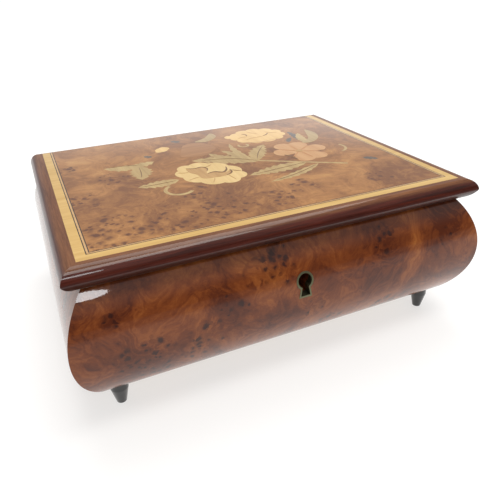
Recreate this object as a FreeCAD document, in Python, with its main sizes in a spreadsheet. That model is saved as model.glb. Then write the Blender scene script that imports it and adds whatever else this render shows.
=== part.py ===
import FreeCAD, Part
import math
import os
from types import SimpleNamespace

import Sketcher
from FreeCAD import Placement, Rotation, Vector

# Inlaid musical jewellery box with bombe sides, in millimetres.
# Frame: +Z up, +X to the right along the front, +Y to the back.  The origin is the
# middle of the case's footprint, on the plane that the four feet stand on.

DIMENSIONS = [
    # overall sizes
    ("lid_width", 200.0),
    ("lid_depth", 153.4),
    ("lid_overhang", 7.2),
    ("lid_thick", 11.0),
    ("rim_height", 68.0),
    ("case_lift", 10.2),
    # bombe wall
    ("belly_bulge", 10.5),
    ("belly_height", 41.4),
    ("under_radius", 16.0),
    ("wall_thick", 13.0),
    ("base_thick", 4.8),
    ("base_lap", 4.0),
    # feet
    ("foot_reach", 5.7),
    ("foot_top_dia", 8.4),
    ("foot_tip_dia", 4.8),
    ("foot_seat_height", 12.4),
    ("dowel_dia", 4.0),
    ("dowel_top", 22.0),
    # lid edge moulding and inlay
    ("nose_under_inset", 9.0),
    ("nose_rise", 6.0),
    ("nose_top_inset", 4.8),
    ("nose_top_radius", 5.6),
    ("rail_width", 22.0),
    ("border_width", 7.4),
    ("maple_width", 4.2),
    ("dark_line_width", 0.4),
    ("light_line_width", 0.8),
    ("veneer_thick", 0.8),
    ("lipping_thick", 2.0),
    ("back_round", 1.6),
    # keyhole and lock
    ("keyhole_height", 50.1),
    ("keyhole_radius", 4.3),
    ("keyhole_neck", 2.5),
    ("keyhole_foot", 3.3),
    ("keyhole_drop", 8.2),
    ("escutcheon_rim", 0.9),
    ("escutcheon_deep", 4.0),
    ("escutcheon_proud", 0.15),
    ("lock_wide", 34.0),
    ("lock_tall", 30.0),
    ("lock_deep", 6.0),
    ("lock_plate", 1.2),
    ("lock_room", 0.6),
    ("slot_long", 6.4),
    ("bolt_throw", 3.0),
    ("bolt_thick", 1.1),
    ("bolt_depth", 10.0),
    ("bolt_tall", 2.9),
    ("bolt_tail", 4.0),
    ("hook_stem", 2.2),
    ("hook_rest_gap", 0.5),
    ("hook_tall", 2.1),
    ("hook_depth", 5.0),
    ("hook_clear", 0.3),
    ("link_long", 34.0),
    ("link_wide", 5.0),
    ("loop_spacing", 14.0),
    ("loop_thick", 2.0),
    ("loop_wide", 2.8),
    ("loop_deep", 6.5),
    ("loop_eye_wide", 1.6),
    # hinges
    ("hinge_wide", 26.0),
    ("hinge_leaf", 1.2),
    ("hinge_reach", 9.5),
    ("hinge_spacing", 112.0),
    ("hinge_screw_spacing", 17.0),
    ("knuckle_radius", 2.0),
    ("knuckle_offset", 0.6),
    ("knuckle_clear", 0.35),
    ("knuckle_room", 0.4),
    ("knuckle_gap", 0.15),
    ("middle_knuckle", 8.8),
    ("hinge_pin_radius", 0.8),
    ("pin_clearance", 0.05),
    # screws
    ("screw_head_dia", 4.0),
    ("screw_shank_dia", 2.0),
    ("screw_slot_deep", 0.5),
    ("screw_slot_wide", 0.6),
    ("screw_edge", 3.0),
    ("screw_hole_gap", 0.05),
    ("case_screw_long", 9.0),
    ("lid_screw_long", 8.0),
    ("base_screw_long", 13.0),
    ("bed_screw_bite", 1.0),
    # interior
    ("partition_thick", 4.0),
    ("movement_bay", 58.0),
    ("partition_height", 60.0),
    ("divider_height", 50.0),
    ("divider_line", -8.0),
    ("cover_thick", 2.0),
    ("cover_height", 57.0),
    ("ledge_width", 3.0),
    ("ledge_tall", 4.0),
    ("cover_gap", 0.3),
    ("plunger_room", 0.4),
    ("finger_hole_radius", 5.0),
    ("finger_hole_line", 12.0),
    ("lining_thick", 1.2),
    ("lining_drop", 1.0),
    ("soft_gap", 0.3),
    ("pad_thick", 4.0),
    ("roll_share", 0.9),
    ("roll_count", 5),
    ("shelf_tall", 22.0),
    ("panel_gap", 2.3),
    ("panel_thick", 2.5),
    ("mirror_wide", 112.0),
    ("mirror_deep", 76.0),
    ("mirror_thick", 2.0),
    ("mirror_frame_width", 4.0),
    ("mirror_frame_thick", 1.2),
    ("fit_gap", 0.1),
    # movement
    ("bed_wide", 54.0),
    ("bed_long", 76.0),
    ("bed_thick", 2.0),
    ("bed_lift", 4.0),
    ("bed_front_lip", 6.0),
    ("bed_back_lip", 2.0),
    ("post_radius", 3.5),
    ("post_inset", 5.0),
    ("cylinder_radius", 6.5),
    ("cylinder_wall", 1.0),
    ("cylinder_long", 33.0),
    ("axis_height", 37.6),
    ("arbor_radius", 1.0),
    ("pin_tall", 0.9),
    ("pin_radius", 0.2),
    ("note_pitch", 1.65),
    ("note_count", 18),
    ("comb_thick", 1.0),
    ("comb_gap", 0.12),
    ("comb_long", 17.5),
    ("comb_edge", 1.0),
    ("tooth_long", 10.5),
    ("tooth_slit", 0.36),
    ("bass_longer", 2.2),
    ("block_set_back", 0.6),
    ("comb_screw_step", 11.0),
    ("comb_screw_long", 4.0),
    ("comb_screw_radius", 1.0),
    ("comb_head_radius", 1.9),
    ("comb_head_tall", 1.3),
    ("comb_slot_deep", 0.5),
    ("comb_slot_wide", 0.5),
    ("bracket_foot", 1.6),
    ("bridge_from_pinion", 2.5),
    ("bridge_thick", 2.0),
    ("bridge_clear", 1.2),
    ("bridge_leg", 3.0),
    ("beam_clear", 2.2),
    ("beam_over", 4.0),
    ("frame_front", 3.6),
    ("frame_back", 2.1),
    ("frame_plate", 1.0),
    ("frame_over", 3.5),
    ("frame_pillar", 2.0),
    ("plate_edge", 6.0),
    ("plate_rim", 1.6),
    ("crown_radius", 11.5),
    ("crown_teeth", 36),
    ("crown_tooth_long", 2.4),
    ("pinion_teeth", 15),
    ("barrel_radius", 13.0),
    ("barrel_tall", 9.6),
    ("barrel_wall", 0.8),
    ("winding_radius", 2.0),
    ("train_module", 0.45),
    ("wheel_teeth", 44),
    ("leaf_teeth", 8),
    ("worm_wheel_teeth", 24),
    ("worm_pitch", 1.5),
    ("worm_radius", 1.5),
    ("fan_span", 10.0),
    ("fan_tall", 7.0),
    ("fan_rise", 1.2),
    ("fan_thick", 0.5),
    ("worm_pivot", 0.6),
    ("worm_end_gap", 1.0),
    ("plunger_radius", 1.1),
    ("key_wide", 19.0),
    ("key_wing", 2.0),
    ("key_opening", 14.0),
    ("key_low", 3.0),
    ("key_bevel", 1.6),
    ("socket_radius", 3.6),
    ("socket_floor", 8.0),
    ("socket_top", 14.0),
]

doc = FreeCAD.newDocument("inlaid_music_box")
sheet = doc.addObject("Spreadsheet::Sheet", "dims")
for row, (alias, value) in enumerate(DIMENSIONS, start=1):
    sheet.set(f"A{row}", alias)
    sheet.set(f"B{row}", str(value))
    sheet.setAlias(f"B{row}", alias)
doc.recompute()


# ---------------------------------------------------------------- sizes that follow the sheet

class Size:
    """A number together with the sheet expression that it follows."""

    def __init__(self, value, text):
        self.value = value
        self.text = text

    def join(self, sign, other):
        other = as_size(other)
        left = self.value
        right = other.value
        result = {"+": lambda: left + right, "-": lambda: left - right,
                  "*": lambda: left * right, "/": lambda: left / right}[sign]()
        return Size(result, f"({self.text} {sign} {other.text})")

    def __add__(self, other):
        return self.join("+", other)

    def __radd__(self, other):
        return as_size(other).join("+", self)

    def __sub__(self, other):
        return self.join("-", other)

    def __rsub__(self, other):
        return as_size(other).join("-", self)

    def __mul__(self, other):
        return self.join("*", other)

    def __rmul__(self, other):
        return as_size(other).join("*", self)

    def __truediv__(self, other):
        return self.join("/", other)

    def __neg__(self):
        return Size(-self.value, f"(0 - {self.text})")


def as_size(number):
    if isinstance(number, Size):
        return number
    return Size(float(number), f"({float(number):.9g})")


def root(size):
    return Size(math.sqrt(size.value), f"sqrt({size.text})")


def bind(item, path, size):
    item.setExpression(path, as_size(size).text)


d = SimpleNamespace(**{alias: Size(float(value), f"dims.{alias}") for alias, value in DIMENSIONS})

# ---------------------------------------------------------------- sizes worked out once

half_x = d.lid_width / 2 - d.lid_overhang            # rim, outer, along X
half_y = (d.lid_depth - d.lid_overhang) / 2          # rim, outer, along Y
inner_x = half_x - d.wall_thick
inner_y = half_y - d.wall_thick
lid_x = half_x + d.lid_overhang
lid_front = -(half_y + d.lid_overhang)
lid_top = d.rim_height + d.lid_thick
veneer_floor = lid_top - d.veneer_thick
floor_z = d.case_lift + d.base_thick
band_1 = d.border_width
band_2 = band_1 + d.maple_width
band_3 = band_2 + d.dark_line_width
band_4 = band_3 + d.light_line_width
band_5 = band_4 + d.dark_line_width
lipping_y = half_y - d.lipping_thick
belly_rise = d.rim_height - d.belly_height
belly_radius = (d.belly_bulge * d.belly_bulge + belly_rise * belly_rise) / (2 * d.belly_bulge)
under_drop = d.belly_height - d.case_lift - d.under_radius
under_reach = root((belly_radius - d.under_radius) * (belly_radius - d.under_radius)
                   - under_drop * under_drop)
partition_x = inner_x - d.movement_bay               # right face of the partition
panel_z = d.rim_height - d.panel_thick               # underside of the lining panel in the lid
lid_mid_y = (half_y + lid_front) / 2
movement_x = inner_x - d.movement_bay / 2
bed_z = floor_z + d.bed_lift
bed_top = bed_z + d.bed_thick
cylinder_start = as_size(-16)                        # left end of the tune cylinder along Y
cylinder_end = cylinder_start + d.cylinder_long
crown_pitch = d.crown_radius * (2 * math.pi) / d.crown_teeth
pinion_pitch_radius = crown_pitch * d.pinion_teeth / (2 * math.pi)
pinion_y = cylinder_end + 2
barrel_x = movement_x
barrel_y = pinion_y + d.crown_radius
crown_z = d.axis_height - pinion_pitch_radius        # pitch plane of the crown teeth
barrel_top = crown_z - 0.8
wheel_radius = d.train_module * d.wheel_teeth / 2
leaf_radius = d.train_module * d.leaf_teeth / 2
governor_x = movement_x + wheel_radius + leaf_radius
worm_wheel_radius = d.worm_pitch * d.worm_wheel_teeth / (2 * math.pi)
worm_x = governor_x + worm_wheel_radius + d.worm_radius
governor_y = cylinder_start - 5.5
plunger_y = governor_y + d.fan_span / 2 + 1.6


# ---------------------------------------------------------------- modelling helpers

NODES = {}


def add_node(item, label):
    item.Label = label
    NODES[label] = item
    return item


def new_body(label):
    return doc.addObject("PartDesign::Body", f"{label}_body")


def origin_item(body, role):
    return next(item for item in body.Origin.OriginFeatures if item.Role == role)


def add_circle(sketch, centre, radius):
    """A circle held by its centre and its radius."""
    x, y = as_size(centre[0]), as_size(centre[1])
    radius = as_size(radius)
    shape = Part.Circle(Vector(x.value, y.value, 0), Vector(0, 0, 1), radius.value)
    index = sketch.addGeometry(shape)
    hold_point(sketch, index, 3, x, y)
    number = sketch.addConstraint(Sketcher.Constraint("Radius", index, radius.value))
    bind(sketch, f"Constraints[{number}]", radius)


def hold_point(sketch, index, end, x, y):
    for kind, size in (("DistanceX", x), ("DistanceY", y)):
        number = sketch.addConstraint(Sketcher.Constraint(kind, -1, 1, index, end, size.value))
        bind(sketch, f"Constraints[{number}]", size)


def add_edge(sketch, first, second, radius):
    """A line, or an arc whose centre lies left of the way for a positive radius."""
    a = Vector(first[0].value, first[1].value, 0)
    b = Vector(second[0].value, second[1].value, 0)
    if radius is None:
        return sketch.addGeometry(Part.LineSegment(a, b)), 1, 2
    turn = 1 if radius.value > 0 else -1
    size = abs(radius.value)
    half = (b - a) / 2
    rise = math.sqrt(max(size * size - half.Length ** 2, 0))
    left = Vector(-half.y, half.x, 0).normalize()
    centre = a + half + left * rise * turn
    start, stop = (a, b) if turn > 0 else (b, a)
    angles = [math.atan2(p.y - centre.y, p.x - centre.x) for p in (start, stop)]
    circle = Part.Circle(centre, Vector(0, 0, 1), size)
    index = sketch.addGeometry(Part.ArcOfCircle(circle, angles[0], angles[1]))
    number = sketch.addConstraint(Sketcher.Constraint("Radius", index, size))
    bind(sketch, f"Constraints[{number}]", radius if turn > 0 else -radius)
    return (index, 1, 2) if turn > 0 else (index, 2, 1)


def add_loop(sketch, points):
    """A closed outline.  A point is (x, y), or (x, y, radius) where an arc follows it."""
    corners = [(as_size(p[0]), as_size(p[1])) for p in points]
    radii = [as_size(p[2]) if len(p) > 2 else None for p in points]
    edges = []
    for number, radius in enumerate(radii):
        following = corners[(number + 1) % len(corners)]
        edges.append(add_edge(sketch, corners[number], following, radius))
    for number, (index, start, _) in enumerate(edges):
        before, _, stop = edges[number - 1]
        sketch.addConstraint(Sketcher.Constraint("Coincident", before, stop, index, start))
        hold_point(sketch, index, start, *corners[number])


def add_sketch(body, plane, offset, loops):
    sketch = body.newObject("Sketcher::SketchObject", f"{body.Name}_sketch")
    sketch.AttachmentSupport = (origin_item(body, plane), [""])
    sketch.MapMode = "FlatFace"
    bind(sketch, "AttachmentOffset.Base.z", offset)
    for loop in loops:
        if isinstance(loop, SimpleNamespace):
            add_circle(sketch, loop.centre, loop.radius)
        else:
            add_loop(sketch, loop)
    return sketch


def ring(x, y, radius):
    return SimpleNamespace(centre=(x, y), radius=radius)


def box_loop(x_low, y_low, x_high, y_high):
    return [(x_low, y_low), (x_high, y_low), (x_high, y_high), (x_low, y_high)]


def extrude(body, plane, low, high, loops, cut=False):
    """Pads, or pockets, the loops between two heights along the plane's own axis.

    The XZ plane of a body faces -Y, so there the sketch stands at the other end.
    """
    low, high = as_size(low), as_size(high)
    backwards = plane == "XZ_Plane"
    start = high if cut != backwards else low
    sketch = add_sketch(body, plane, -start if backwards else start, loops)
    kind = "Pocket" if cut else "Pad"
    feature = body.newObject(f"PartDesign::{kind}", f"{body.Name}_{kind}")
    feature.Profile = sketch
    bind(feature, "Length", high - low)
    body.Tip = feature
    return feature


def pad(body, plane, low, high, *loops):
    return extrude(body, plane, low, high, loops)


def pocket(body, plane, low, high, *loops):
    return extrude(body, plane, low, high, loops, cut=True)


def lathe(body, *loops, groove=False):
    """Turns (radius, height) outlines about the body's own Z axis."""
    sketch = add_sketch(body, "XZ_Plane", 0, loops)
    kind = "Groove" if groove else "Revolution"
    feature = body.newObject(f"PartDesign::{kind}", f"{body.Name}_{kind}")
    feature.Profile = sketch
    feature.ReferenceAxis = (origin_item(body, "Z_Axis"), [""])
    feature.Angle = 360
    body.Tip = feature
    return feature


def place(item, x=0, y=0, z=0, rotation=None):
    base = [as_size(v) for v in (x, y, z)]
    item.Placement = Placement(Vector(*[v.value for v in base]), rotation or Rotation())
    for axis, size in zip("xyz", base):
        bind(item, f"Placement.Base.{axis}", size)
    return item


def compound(label, items):
    group = doc.addObject("Part::Compound", f"{label}_group")
    group.Links = items
    return add_node(group, label)


ABOUT_X = Vector(1, 0, 0)
ABOUT_Y = Vector(0, 1, 0)
ABOUT_Z = Vector(0, 0, 1)
FACE_UP = Rotation()
FACE_DOWN = Rotation(ABOUT_X, 180)
FACE_BACK = Rotation(ABOUT_X, -90)          # local +Z points to +Y


def make_screw(name, length, x, y, z, rotation):
    """A countersunk slotted screw: its head's face at (x, y, z), its point along local -Z."""
    body = new_body(name)
    head_radius = d.screw_head_dia / 2
    shank = d.screw_shank_dia / 2
    cone = head_radius - shank
    lathe(body, [(0, 0), (head_radius, 0), (shank, -cone), (shank, -length), (0, -length - shank)])
    slot = head_radius * 1.1
    wide = d.screw_slot_wide / 2
    pocket(body, "XY_Plane", -d.screw_slot_deep, 1, box_loop(-slot, -wide, slot, wide))
    place(body, x, y, z, rotation)
    return body


# ---------------------------------------------------------------- case walls, base and feet

def wall_profile():
    """The bombe wall's section: local y points inwards, so the outside lies at lower y."""
    big_centre_y = d.belly_bulge - belly_radius
    small_centre_y = big_centre_y + under_reach
    small_centre_z = d.case_lift + d.under_radius
    share = belly_radius / (belly_radius - d.under_radius)
    meet_y = big_centre_y + under_reach * share
    meet_z = d.belly_height + (small_centre_z - d.belly_height) * share
    lip_y = -d.wall_thick + d.base_lap
    lip_run = lip_y - small_centre_y
    lip_z = small_centre_z - root(d.under_radius * d.under_radius - lip_run * lip_run)
    return [(0, d.rim_height, -belly_radius), (meet_y, meet_z, -d.under_radius), (lip_y, lip_z),
            (lip_y, floor_z), (-d.wall_thick, floor_z), (-d.wall_thick, d.rim_height)]


def outward(across, profile):
    """Moves an (out, z) profile to the wall whose rim stands at -across."""
    moved = []
    for point in profile:
        radius = [-point[2]] if len(point) > 2 else []
        moved.append((-(across + point[0]), point[1], *radius))
    return moved


def foot_from(rim_half):
    """A foot's distance from the middle, under the wall whose rim stands at rim_half."""
    return rim_half - d.wall_thick + d.foot_reach


def foot_places():
    for side_name, side in (("left", -1), ("right", 1)):
        for end_name, end in (("front", -1), ("back", 1)):
            yield f"foot_{end_name}_{side_name}", side, end


def make_panel(label, run, across, angle):
    """One wall in the front wall's place, mitred at both ends, then turned about Z."""
    body = new_body(label)
    reach = run + d.belly_bulge
    pad(body, "YZ_Plane", -reach, reach, outward(across, wall_profile()))
    outer_x, outer_y = reach + 1, -(across + d.belly_bulge + 1)
    inner_end, inner_face = run - d.wall_thick - 1, -(across - d.wall_thick - 1)
    for side in (-1, 1):
        corner = [(side * outer_x, outer_y), (side * outer_x, inner_face), (side * inner_end, inner_face)]
        pocket(body, "XY_Plane", 0, lid_top, corner)
    seats = [ring(side * foot_from(run), -foot_from(across), d.foot_top_dia / 2) for side in (-1, 1)]
    pocket(body, "XY_Plane", 0, d.foot_seat_height, *seats)
    holes = [ring(side * foot_from(run), -foot_from(across), d.dowel_dia / 2) for side in (-1, 1)]
    pocket(body, "XY_Plane", 0, d.dowel_top, *holes)
    place(body, rotation=Rotation(ABOUT_Z, angle))
    return add_node(body, label)


def keyhole_loop(grow):
    """Round head over a flared slot, grown outwards by the given amount."""
    radius = d.keyhole_radius + grow
    neck = d.keyhole_neck + grow
    neck_z = d.keyhole_height - root(radius * radius - neck * neck)
    foot = d.keyhole_foot + grow
    foot_z = d.keyhole_height - d.keyhole_drop - grow
    top_z = d.keyhole_height + radius
    return [(-foot, foot_z), (foot, foot_z), (neck, neck_z, radius), (0, top_z, radius), (-neck, neck_z)]


lock_face_y = -inner_y                               # inner face of the front wall
lock_back_y = lock_face_y - d.lock_deep
lock_mid_y = (lock_face_y + lock_back_y) / 2
lock_low = d.rim_height - d.lock_tall
link_half = d.link_long / 2
link_screw_places = (-(link_half - d.screw_edge), link_half - d.screw_edge)
loop_places = (-d.loop_spacing / 2, d.loop_spacing / 2)
hook_low = d.rim_height - d.hook_depth
hook_high = hook_low + d.hook_tall


def make_case():
    front = make_panel("front_panel", half_x, half_y, 0)
    pocket(front, "XZ_Plane", lock_back_y, lock_face_y + 1,
           box_loop(-d.lock_wide / 2, lock_low, d.lock_wide / 2, lid_top))
    pocket(front, "XZ_Plane", -(half_y + d.belly_bulge + 1), lock_back_y + 1, keyhole_loop(-d.escutcheon_rim))
    pocket(front, "XZ_Plane", -(half_y + d.belly_bulge + 1), -(half_y + d.belly_bulge - d.escutcheon_deep),
           keyhole_loop(0))
    back = make_panel("back_panel", half_x, half_y, 180)
    make_panel("left_panel", half_y, half_x, -90)
    make_panel("right_panel", half_y, half_x, 90)
    for centre in (-d.hinge_spacing / 2, d.hinge_spacing / 2):
        low, high = centre - d.hinge_wide / 2, centre + d.hinge_wide / 2
        pocket(back, "XY_Plane", d.rim_height - d.hinge_leaf, lid_top,
               box_loop(low, -(half_y + 1), high, -(half_y - d.hinge_reach)))
        pocket(back, "XY_Plane", d.rim_height - d.knuckle_radius - d.knuckle_room, lid_top,
               box_loop(low, -(half_y + 3), high, -(half_y - d.knuckle_radius - d.knuckle_room)))

    edge_x = inner_x + d.base_lap - d.fit_gap
    edge_y = inner_y + d.base_lap - d.fit_gap
    base = new_body("base_board")
    pad(base, "XY_Plane", d.case_lift, floor_z, box_loop(-edge_x, -edge_y, edge_x, edge_y))
    seats = [ring(side * foot_from(half_x), end * foot_from(half_y), d.foot_top_dia / 2)
             for _, side, end in foot_places()]
    pocket(base, "XY_Plane", 0, floor_z + 1, *seats)
    pocket(base, "XY_Plane", 0, floor_z + 1, ring(barrel_x, barrel_y, d.key_opening / 2))
    add_node(base, "base_board")

    for label, side, end in foot_places():
        foot = new_body(label)
        top, tip, dowel = d.foot_top_dia / 2, d.foot_tip_dia / 2, d.dowel_dia / 2
        lathe(foot, [(0, 0), (tip - 0.8, 0, 0.8), (tip, 0.8), (top, d.case_lift - 1.5),
                     (top, d.foot_seat_height), (dowel, d.foot_seat_height), (dowel, d.dowel_top),
                     (0, d.dowel_top)])
        place(foot, side * foot_from(half_x), end * foot_from(half_y))
        add_node(foot, label)


# ---------------------------------------------------------------- lock and keyhole

def make_lock():
    lining = new_body("keyhole_escutcheon")
    outer_y = -(half_y + d.belly_bulge)
    pad(lining, "XZ_Plane", outer_y - 1, outer_y + d.escutcheon_deep,
        keyhole_loop(0), keyhole_loop(-d.escutcheon_rim))
    swell = belly_radius + d.escutcheon_proud
    rise = d.keyhole_radius * 4
    back_off = swell - root(swell * swell - rise * rise)
    face_y = outer_y - d.escutcheon_proud
    pocket(lining, "YZ_Plane", -20, 20,
           [(face_y - 3, d.belly_height - rise), (face_y + back_off, d.belly_height - rise, -swell),
            (face_y, d.belly_height, -swell),
            (face_y + back_off, d.belly_height + rise), (face_y - 3, d.belly_height + rise)])
    add_node(lining, "keyhole_escutcheon")

    case = new_body("lock_case")
    half = d.lock_wide / 2
    pad(case, "XZ_Plane", lock_back_y, lock_face_y, box_loop(-half, lock_low, half, d.rim_height))
    inside = half - d.lock_plate
    pocket(case, "XZ_Plane", lock_back_y + d.lock_plate, lock_face_y - d.lock_plate,
           box_loop(-inside, lock_low + d.lock_plate, inside, d.rim_height - d.lock_plate))
    slot_half = d.slot_long / 2
    slots = [box_loop(x - slot_half, lock_back_y + d.lock_plate, x + slot_half, lock_face_y - d.lock_plate)
             for x in loop_places]
    pocket(case, "XY_Plane", d.rim_height - d.lock_plate - 1, d.rim_height + 1, *slots)
    pocket(case, "XZ_Plane", lock_back_y - 1, lock_back_y + d.lock_plate * 1.2,
           keyhole_loop(-d.escutcheon_rim))
    add_node(case, "lock_case")

    bolt = new_body("lock_bolt")
    low = d.rim_height - d.bolt_depth
    high = low + d.bolt_tall
    left, right = loop_places
    tip = d.loop_thick / 2 + d.hook_rest_gap
    stem = d.loop_thick / 2 + d.hook_clear + d.bolt_throw
    heel = stem + d.hook_stem
    outline = [(left - heel, low), (right + d.bolt_tail, low), (right + d.bolt_tail, high),
               (right - stem, high), (right - stem, hook_low), (right - tip, hook_low),
               (right - tip, hook_high), (right - heel, hook_high), (right - heel, high),
               (left - stem, high), (left - stem, hook_low), (left - tip, hook_low),
               (left - tip, hook_high), (left - heel, hook_high)]
    pad(bolt, "XZ_Plane", lock_mid_y - d.bolt_thick / 2, lock_mid_y + d.bolt_thick / 2, outline)
    add_node(bolt, "lock_bolt")

    link = new_body("link_plate")
    pad(link, "XY_Plane", d.rim_height, d.rim_height + d.hinge_leaf,
        box_loop(-link_half, lock_mid_y - d.link_wide / 2, link_half, lock_mid_y + d.link_wide / 2))
    thick, wide, eye = d.loop_thick / 2, d.loop_wide / 2, d.loop_eye_wide / 2
    for x in loop_places:
        pad(link, "YZ_Plane", x - thick, x + thick,
            box_loop(lock_mid_y - wide, d.rim_height - d.loop_deep, lock_mid_y + wide,
                     d.rim_height + d.hinge_leaf / 2))
        pocket(link, "YZ_Plane", x - thick - 1, x + thick + 1,
               box_loop(lock_mid_y - eye, hook_low - d.hook_clear,
                        lock_mid_y + eye, hook_high + d.hook_clear))
    for x in link_screw_places:
        sink_screw(link, x, lock_mid_y, d.rim_height, 1)
    add_node(link, "link_plate")


def sink_screw(body, x, y, face_z, side):
    """A stepped hole for a screw whose head is flush with face_z; side is +1 to bore upwards."""
    head, shank = d.screw_head_dia / 2 + d.screw_hole_gap, d.screw_shank_dia / 2 + d.screw_hole_gap
    for radius, depth in ((head, head - shank), (shank, d.hinge_leaf * 2)):
        start, stop = (face_z - 0.5, face_z + depth) if side > 0 else (face_z - depth, face_z + 0.5)
        pocket(body, "XY_Plane", start, stop, ring(x, y, radius))


# ---------------------------------------------------------------- hinges

hinge_y = half_y + d.knuckle_offset
hinge_places = (-d.hinge_spacing / 2, d.hinge_spacing / 2)
hinge_screw_steps = (-d.hinge_screw_spacing / 2, d.hinge_screw_spacing / 2)
leaf_reach_y = half_y - d.hinge_reach
screw_line_y = half_y - d.hinge_reach / 2 - 1


leaf_half = d.hinge_wide / 2 - d.fit_gap
middle_half = d.middle_knuckle / 2
middle_end = middle_half - d.knuckle_gap
middle_knuckle = [(-middle_end, middle_end)]
outer_knuckles = [(-leaf_half, -middle_half), (middle_half, leaf_half)]
room_for_middle = [(-middle_half, middle_half)]
room_for_outer = [(-leaf_half - 1, -middle_end), (middle_end, leaf_half + 1)]


def make_leaf(name, centre, low_z, knuckles, rooms, side):
    """One hinge leaf.  Knuckles and the other leaf's rooms are spans along X from the centre."""
    leaf = new_body(name)
    pad(leaf, "XY_Plane", low_z, low_z + d.hinge_leaf,
        box_loop(centre - leaf_half, leaf_reach_y + d.fit_gap,
                 centre + leaf_half, hinge_y - d.knuckle_radius / 2))
    for low, high in rooms:
        pocket(leaf, "YZ_Plane", centre + low, centre + high,
               ring(hinge_y, d.rim_height, d.knuckle_radius + d.knuckle_clear))
    for low, high in knuckles:
        pad(leaf, "YZ_Plane", centre + low, centre + high, ring(hinge_y, d.rim_height, d.knuckle_radius))
    bore = d.hinge_pin_radius + d.pin_clearance
    pocket(leaf, "YZ_Plane", centre - leaf_half - 1, centre + leaf_half + 1,
           ring(hinge_y, d.rim_height, bore))
    for step in hinge_screw_steps:
        sink_screw(leaf, centre + step, screw_line_y, d.rim_height, side)
    return leaf


def make_hinges():
    body_leaves, lid_leaves, pins, body_screws, lid_screws = [], [], [], [], []
    for number, centre in enumerate(hinge_places, start=1):
        body_leaves.append(make_leaf(f"case_leaf_{number}", centre, d.rim_height - d.hinge_leaf,
                                     outer_knuckles, room_for_middle, -1))
        lid_leaves.append(make_leaf(f"lid_leaf_{number}", centre, d.rim_height,
                                    middle_knuckle, room_for_outer, 1))
        pin = new_body(f"hinge_pin_{number}")
        pad(pin, "YZ_Plane", centre - leaf_half, centre + leaf_half,
            ring(hinge_y, d.rim_height, d.hinge_pin_radius))
        pins.append(pin)
        for step in hinge_screw_steps:
            place_x = centre + step
            body_screws.append(make_screw(f"case_hinge_screw_{len(body_screws)}", d.case_screw_long, place_x,
                                          screw_line_y, d.rim_height, FACE_UP))
            lid_screws.append(make_screw(f"lid_hinge_screw_{len(lid_screws)}", d.lid_screw_long, place_x,
                                         screw_line_y, d.rim_height, FACE_DOWN))
    compound("hinge_case_leaves", body_leaves)
    compound("hinge_lid_leaves", lid_leaves)
    compound("hinge_pins", pins)
    lock_screw_x = d.lock_wide / 2 - d.screw_edge
    for x in (-lock_screw_x, lock_screw_x):
        body_screws.append(make_screw(f"lock_screw_{len(body_screws)}", d.case_screw_long, x, lock_face_y,
                                      lock_low + d.screw_edge, FACE_BACK))
    for x in link_screw_places:
        lid_screws.append(make_screw(f"link_screw_{len(lid_screws)}", d.lid_screw_long, x, lock_mid_y,
                                     d.rim_height, FACE_DOWN))
    compound("case_screws", body_screws)
    compound("lid_screws", lid_screws)


# ---------------------------------------------------------------- lid

def nose_profile(inner):
    """The lid's moulded edge as (inset, height): under arc, nose, upper arc, flat, veneer step."""
    nose_z = d.rim_height + d.nose_rise
    under_radius = (d.nose_under_inset * d.nose_under_inset + d.nose_rise * d.nose_rise) / (2 * d.nose_rise)
    return [(d.nose_under_inset, d.rim_height, under_radius), (0, nose_z, d.nose_top_radius),
            (d.nose_top_inset, lid_top), (band_1, lid_top), (band_1, veneer_floor),
            (inner, veneer_floor), (inner, d.rim_height)]


def make_rail(label, across, low, high, mitres, angle):
    """A lid rail in the front rail's place from low to high along X; mitres are its mitred ends."""
    body = new_body(label)
    profile = [(-(across - p[0]), p[1], *[-radius for radius in p[2:]]) for p in nose_profile(d.rail_width)]
    pad(body, "YZ_Plane", low, high, profile)
    for side, edge in mitres:
        corner = [(side * (edge + 1), -(across + 1)), (side * (edge + 1), -(across - d.rail_width - 1)),
                  (side * (edge - d.rail_width - 1), -(across - d.rail_width - 1))]
        pocket(body, "XY_Plane", d.rim_height - 1, lid_top + 1, corner)
    place(body, rotation=Rotation(ABOUT_Z, angle))
    return add_node(body, label)


def three_sided(outer, inner):
    """A plan band along the left, front and right, between two insets from the lid's edge."""
    left_out, left_in = outer - lid_x, inner - lid_x
    front_out, front_in = lid_front + outer, lid_front + inner
    return [(left_out, lipping_y), (left_out, front_out), (-left_out, front_out), (-left_out, lipping_y),
            (-left_in, lipping_y), (-left_in, front_in), (left_in, front_in), (left_in, lipping_y)]


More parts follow.
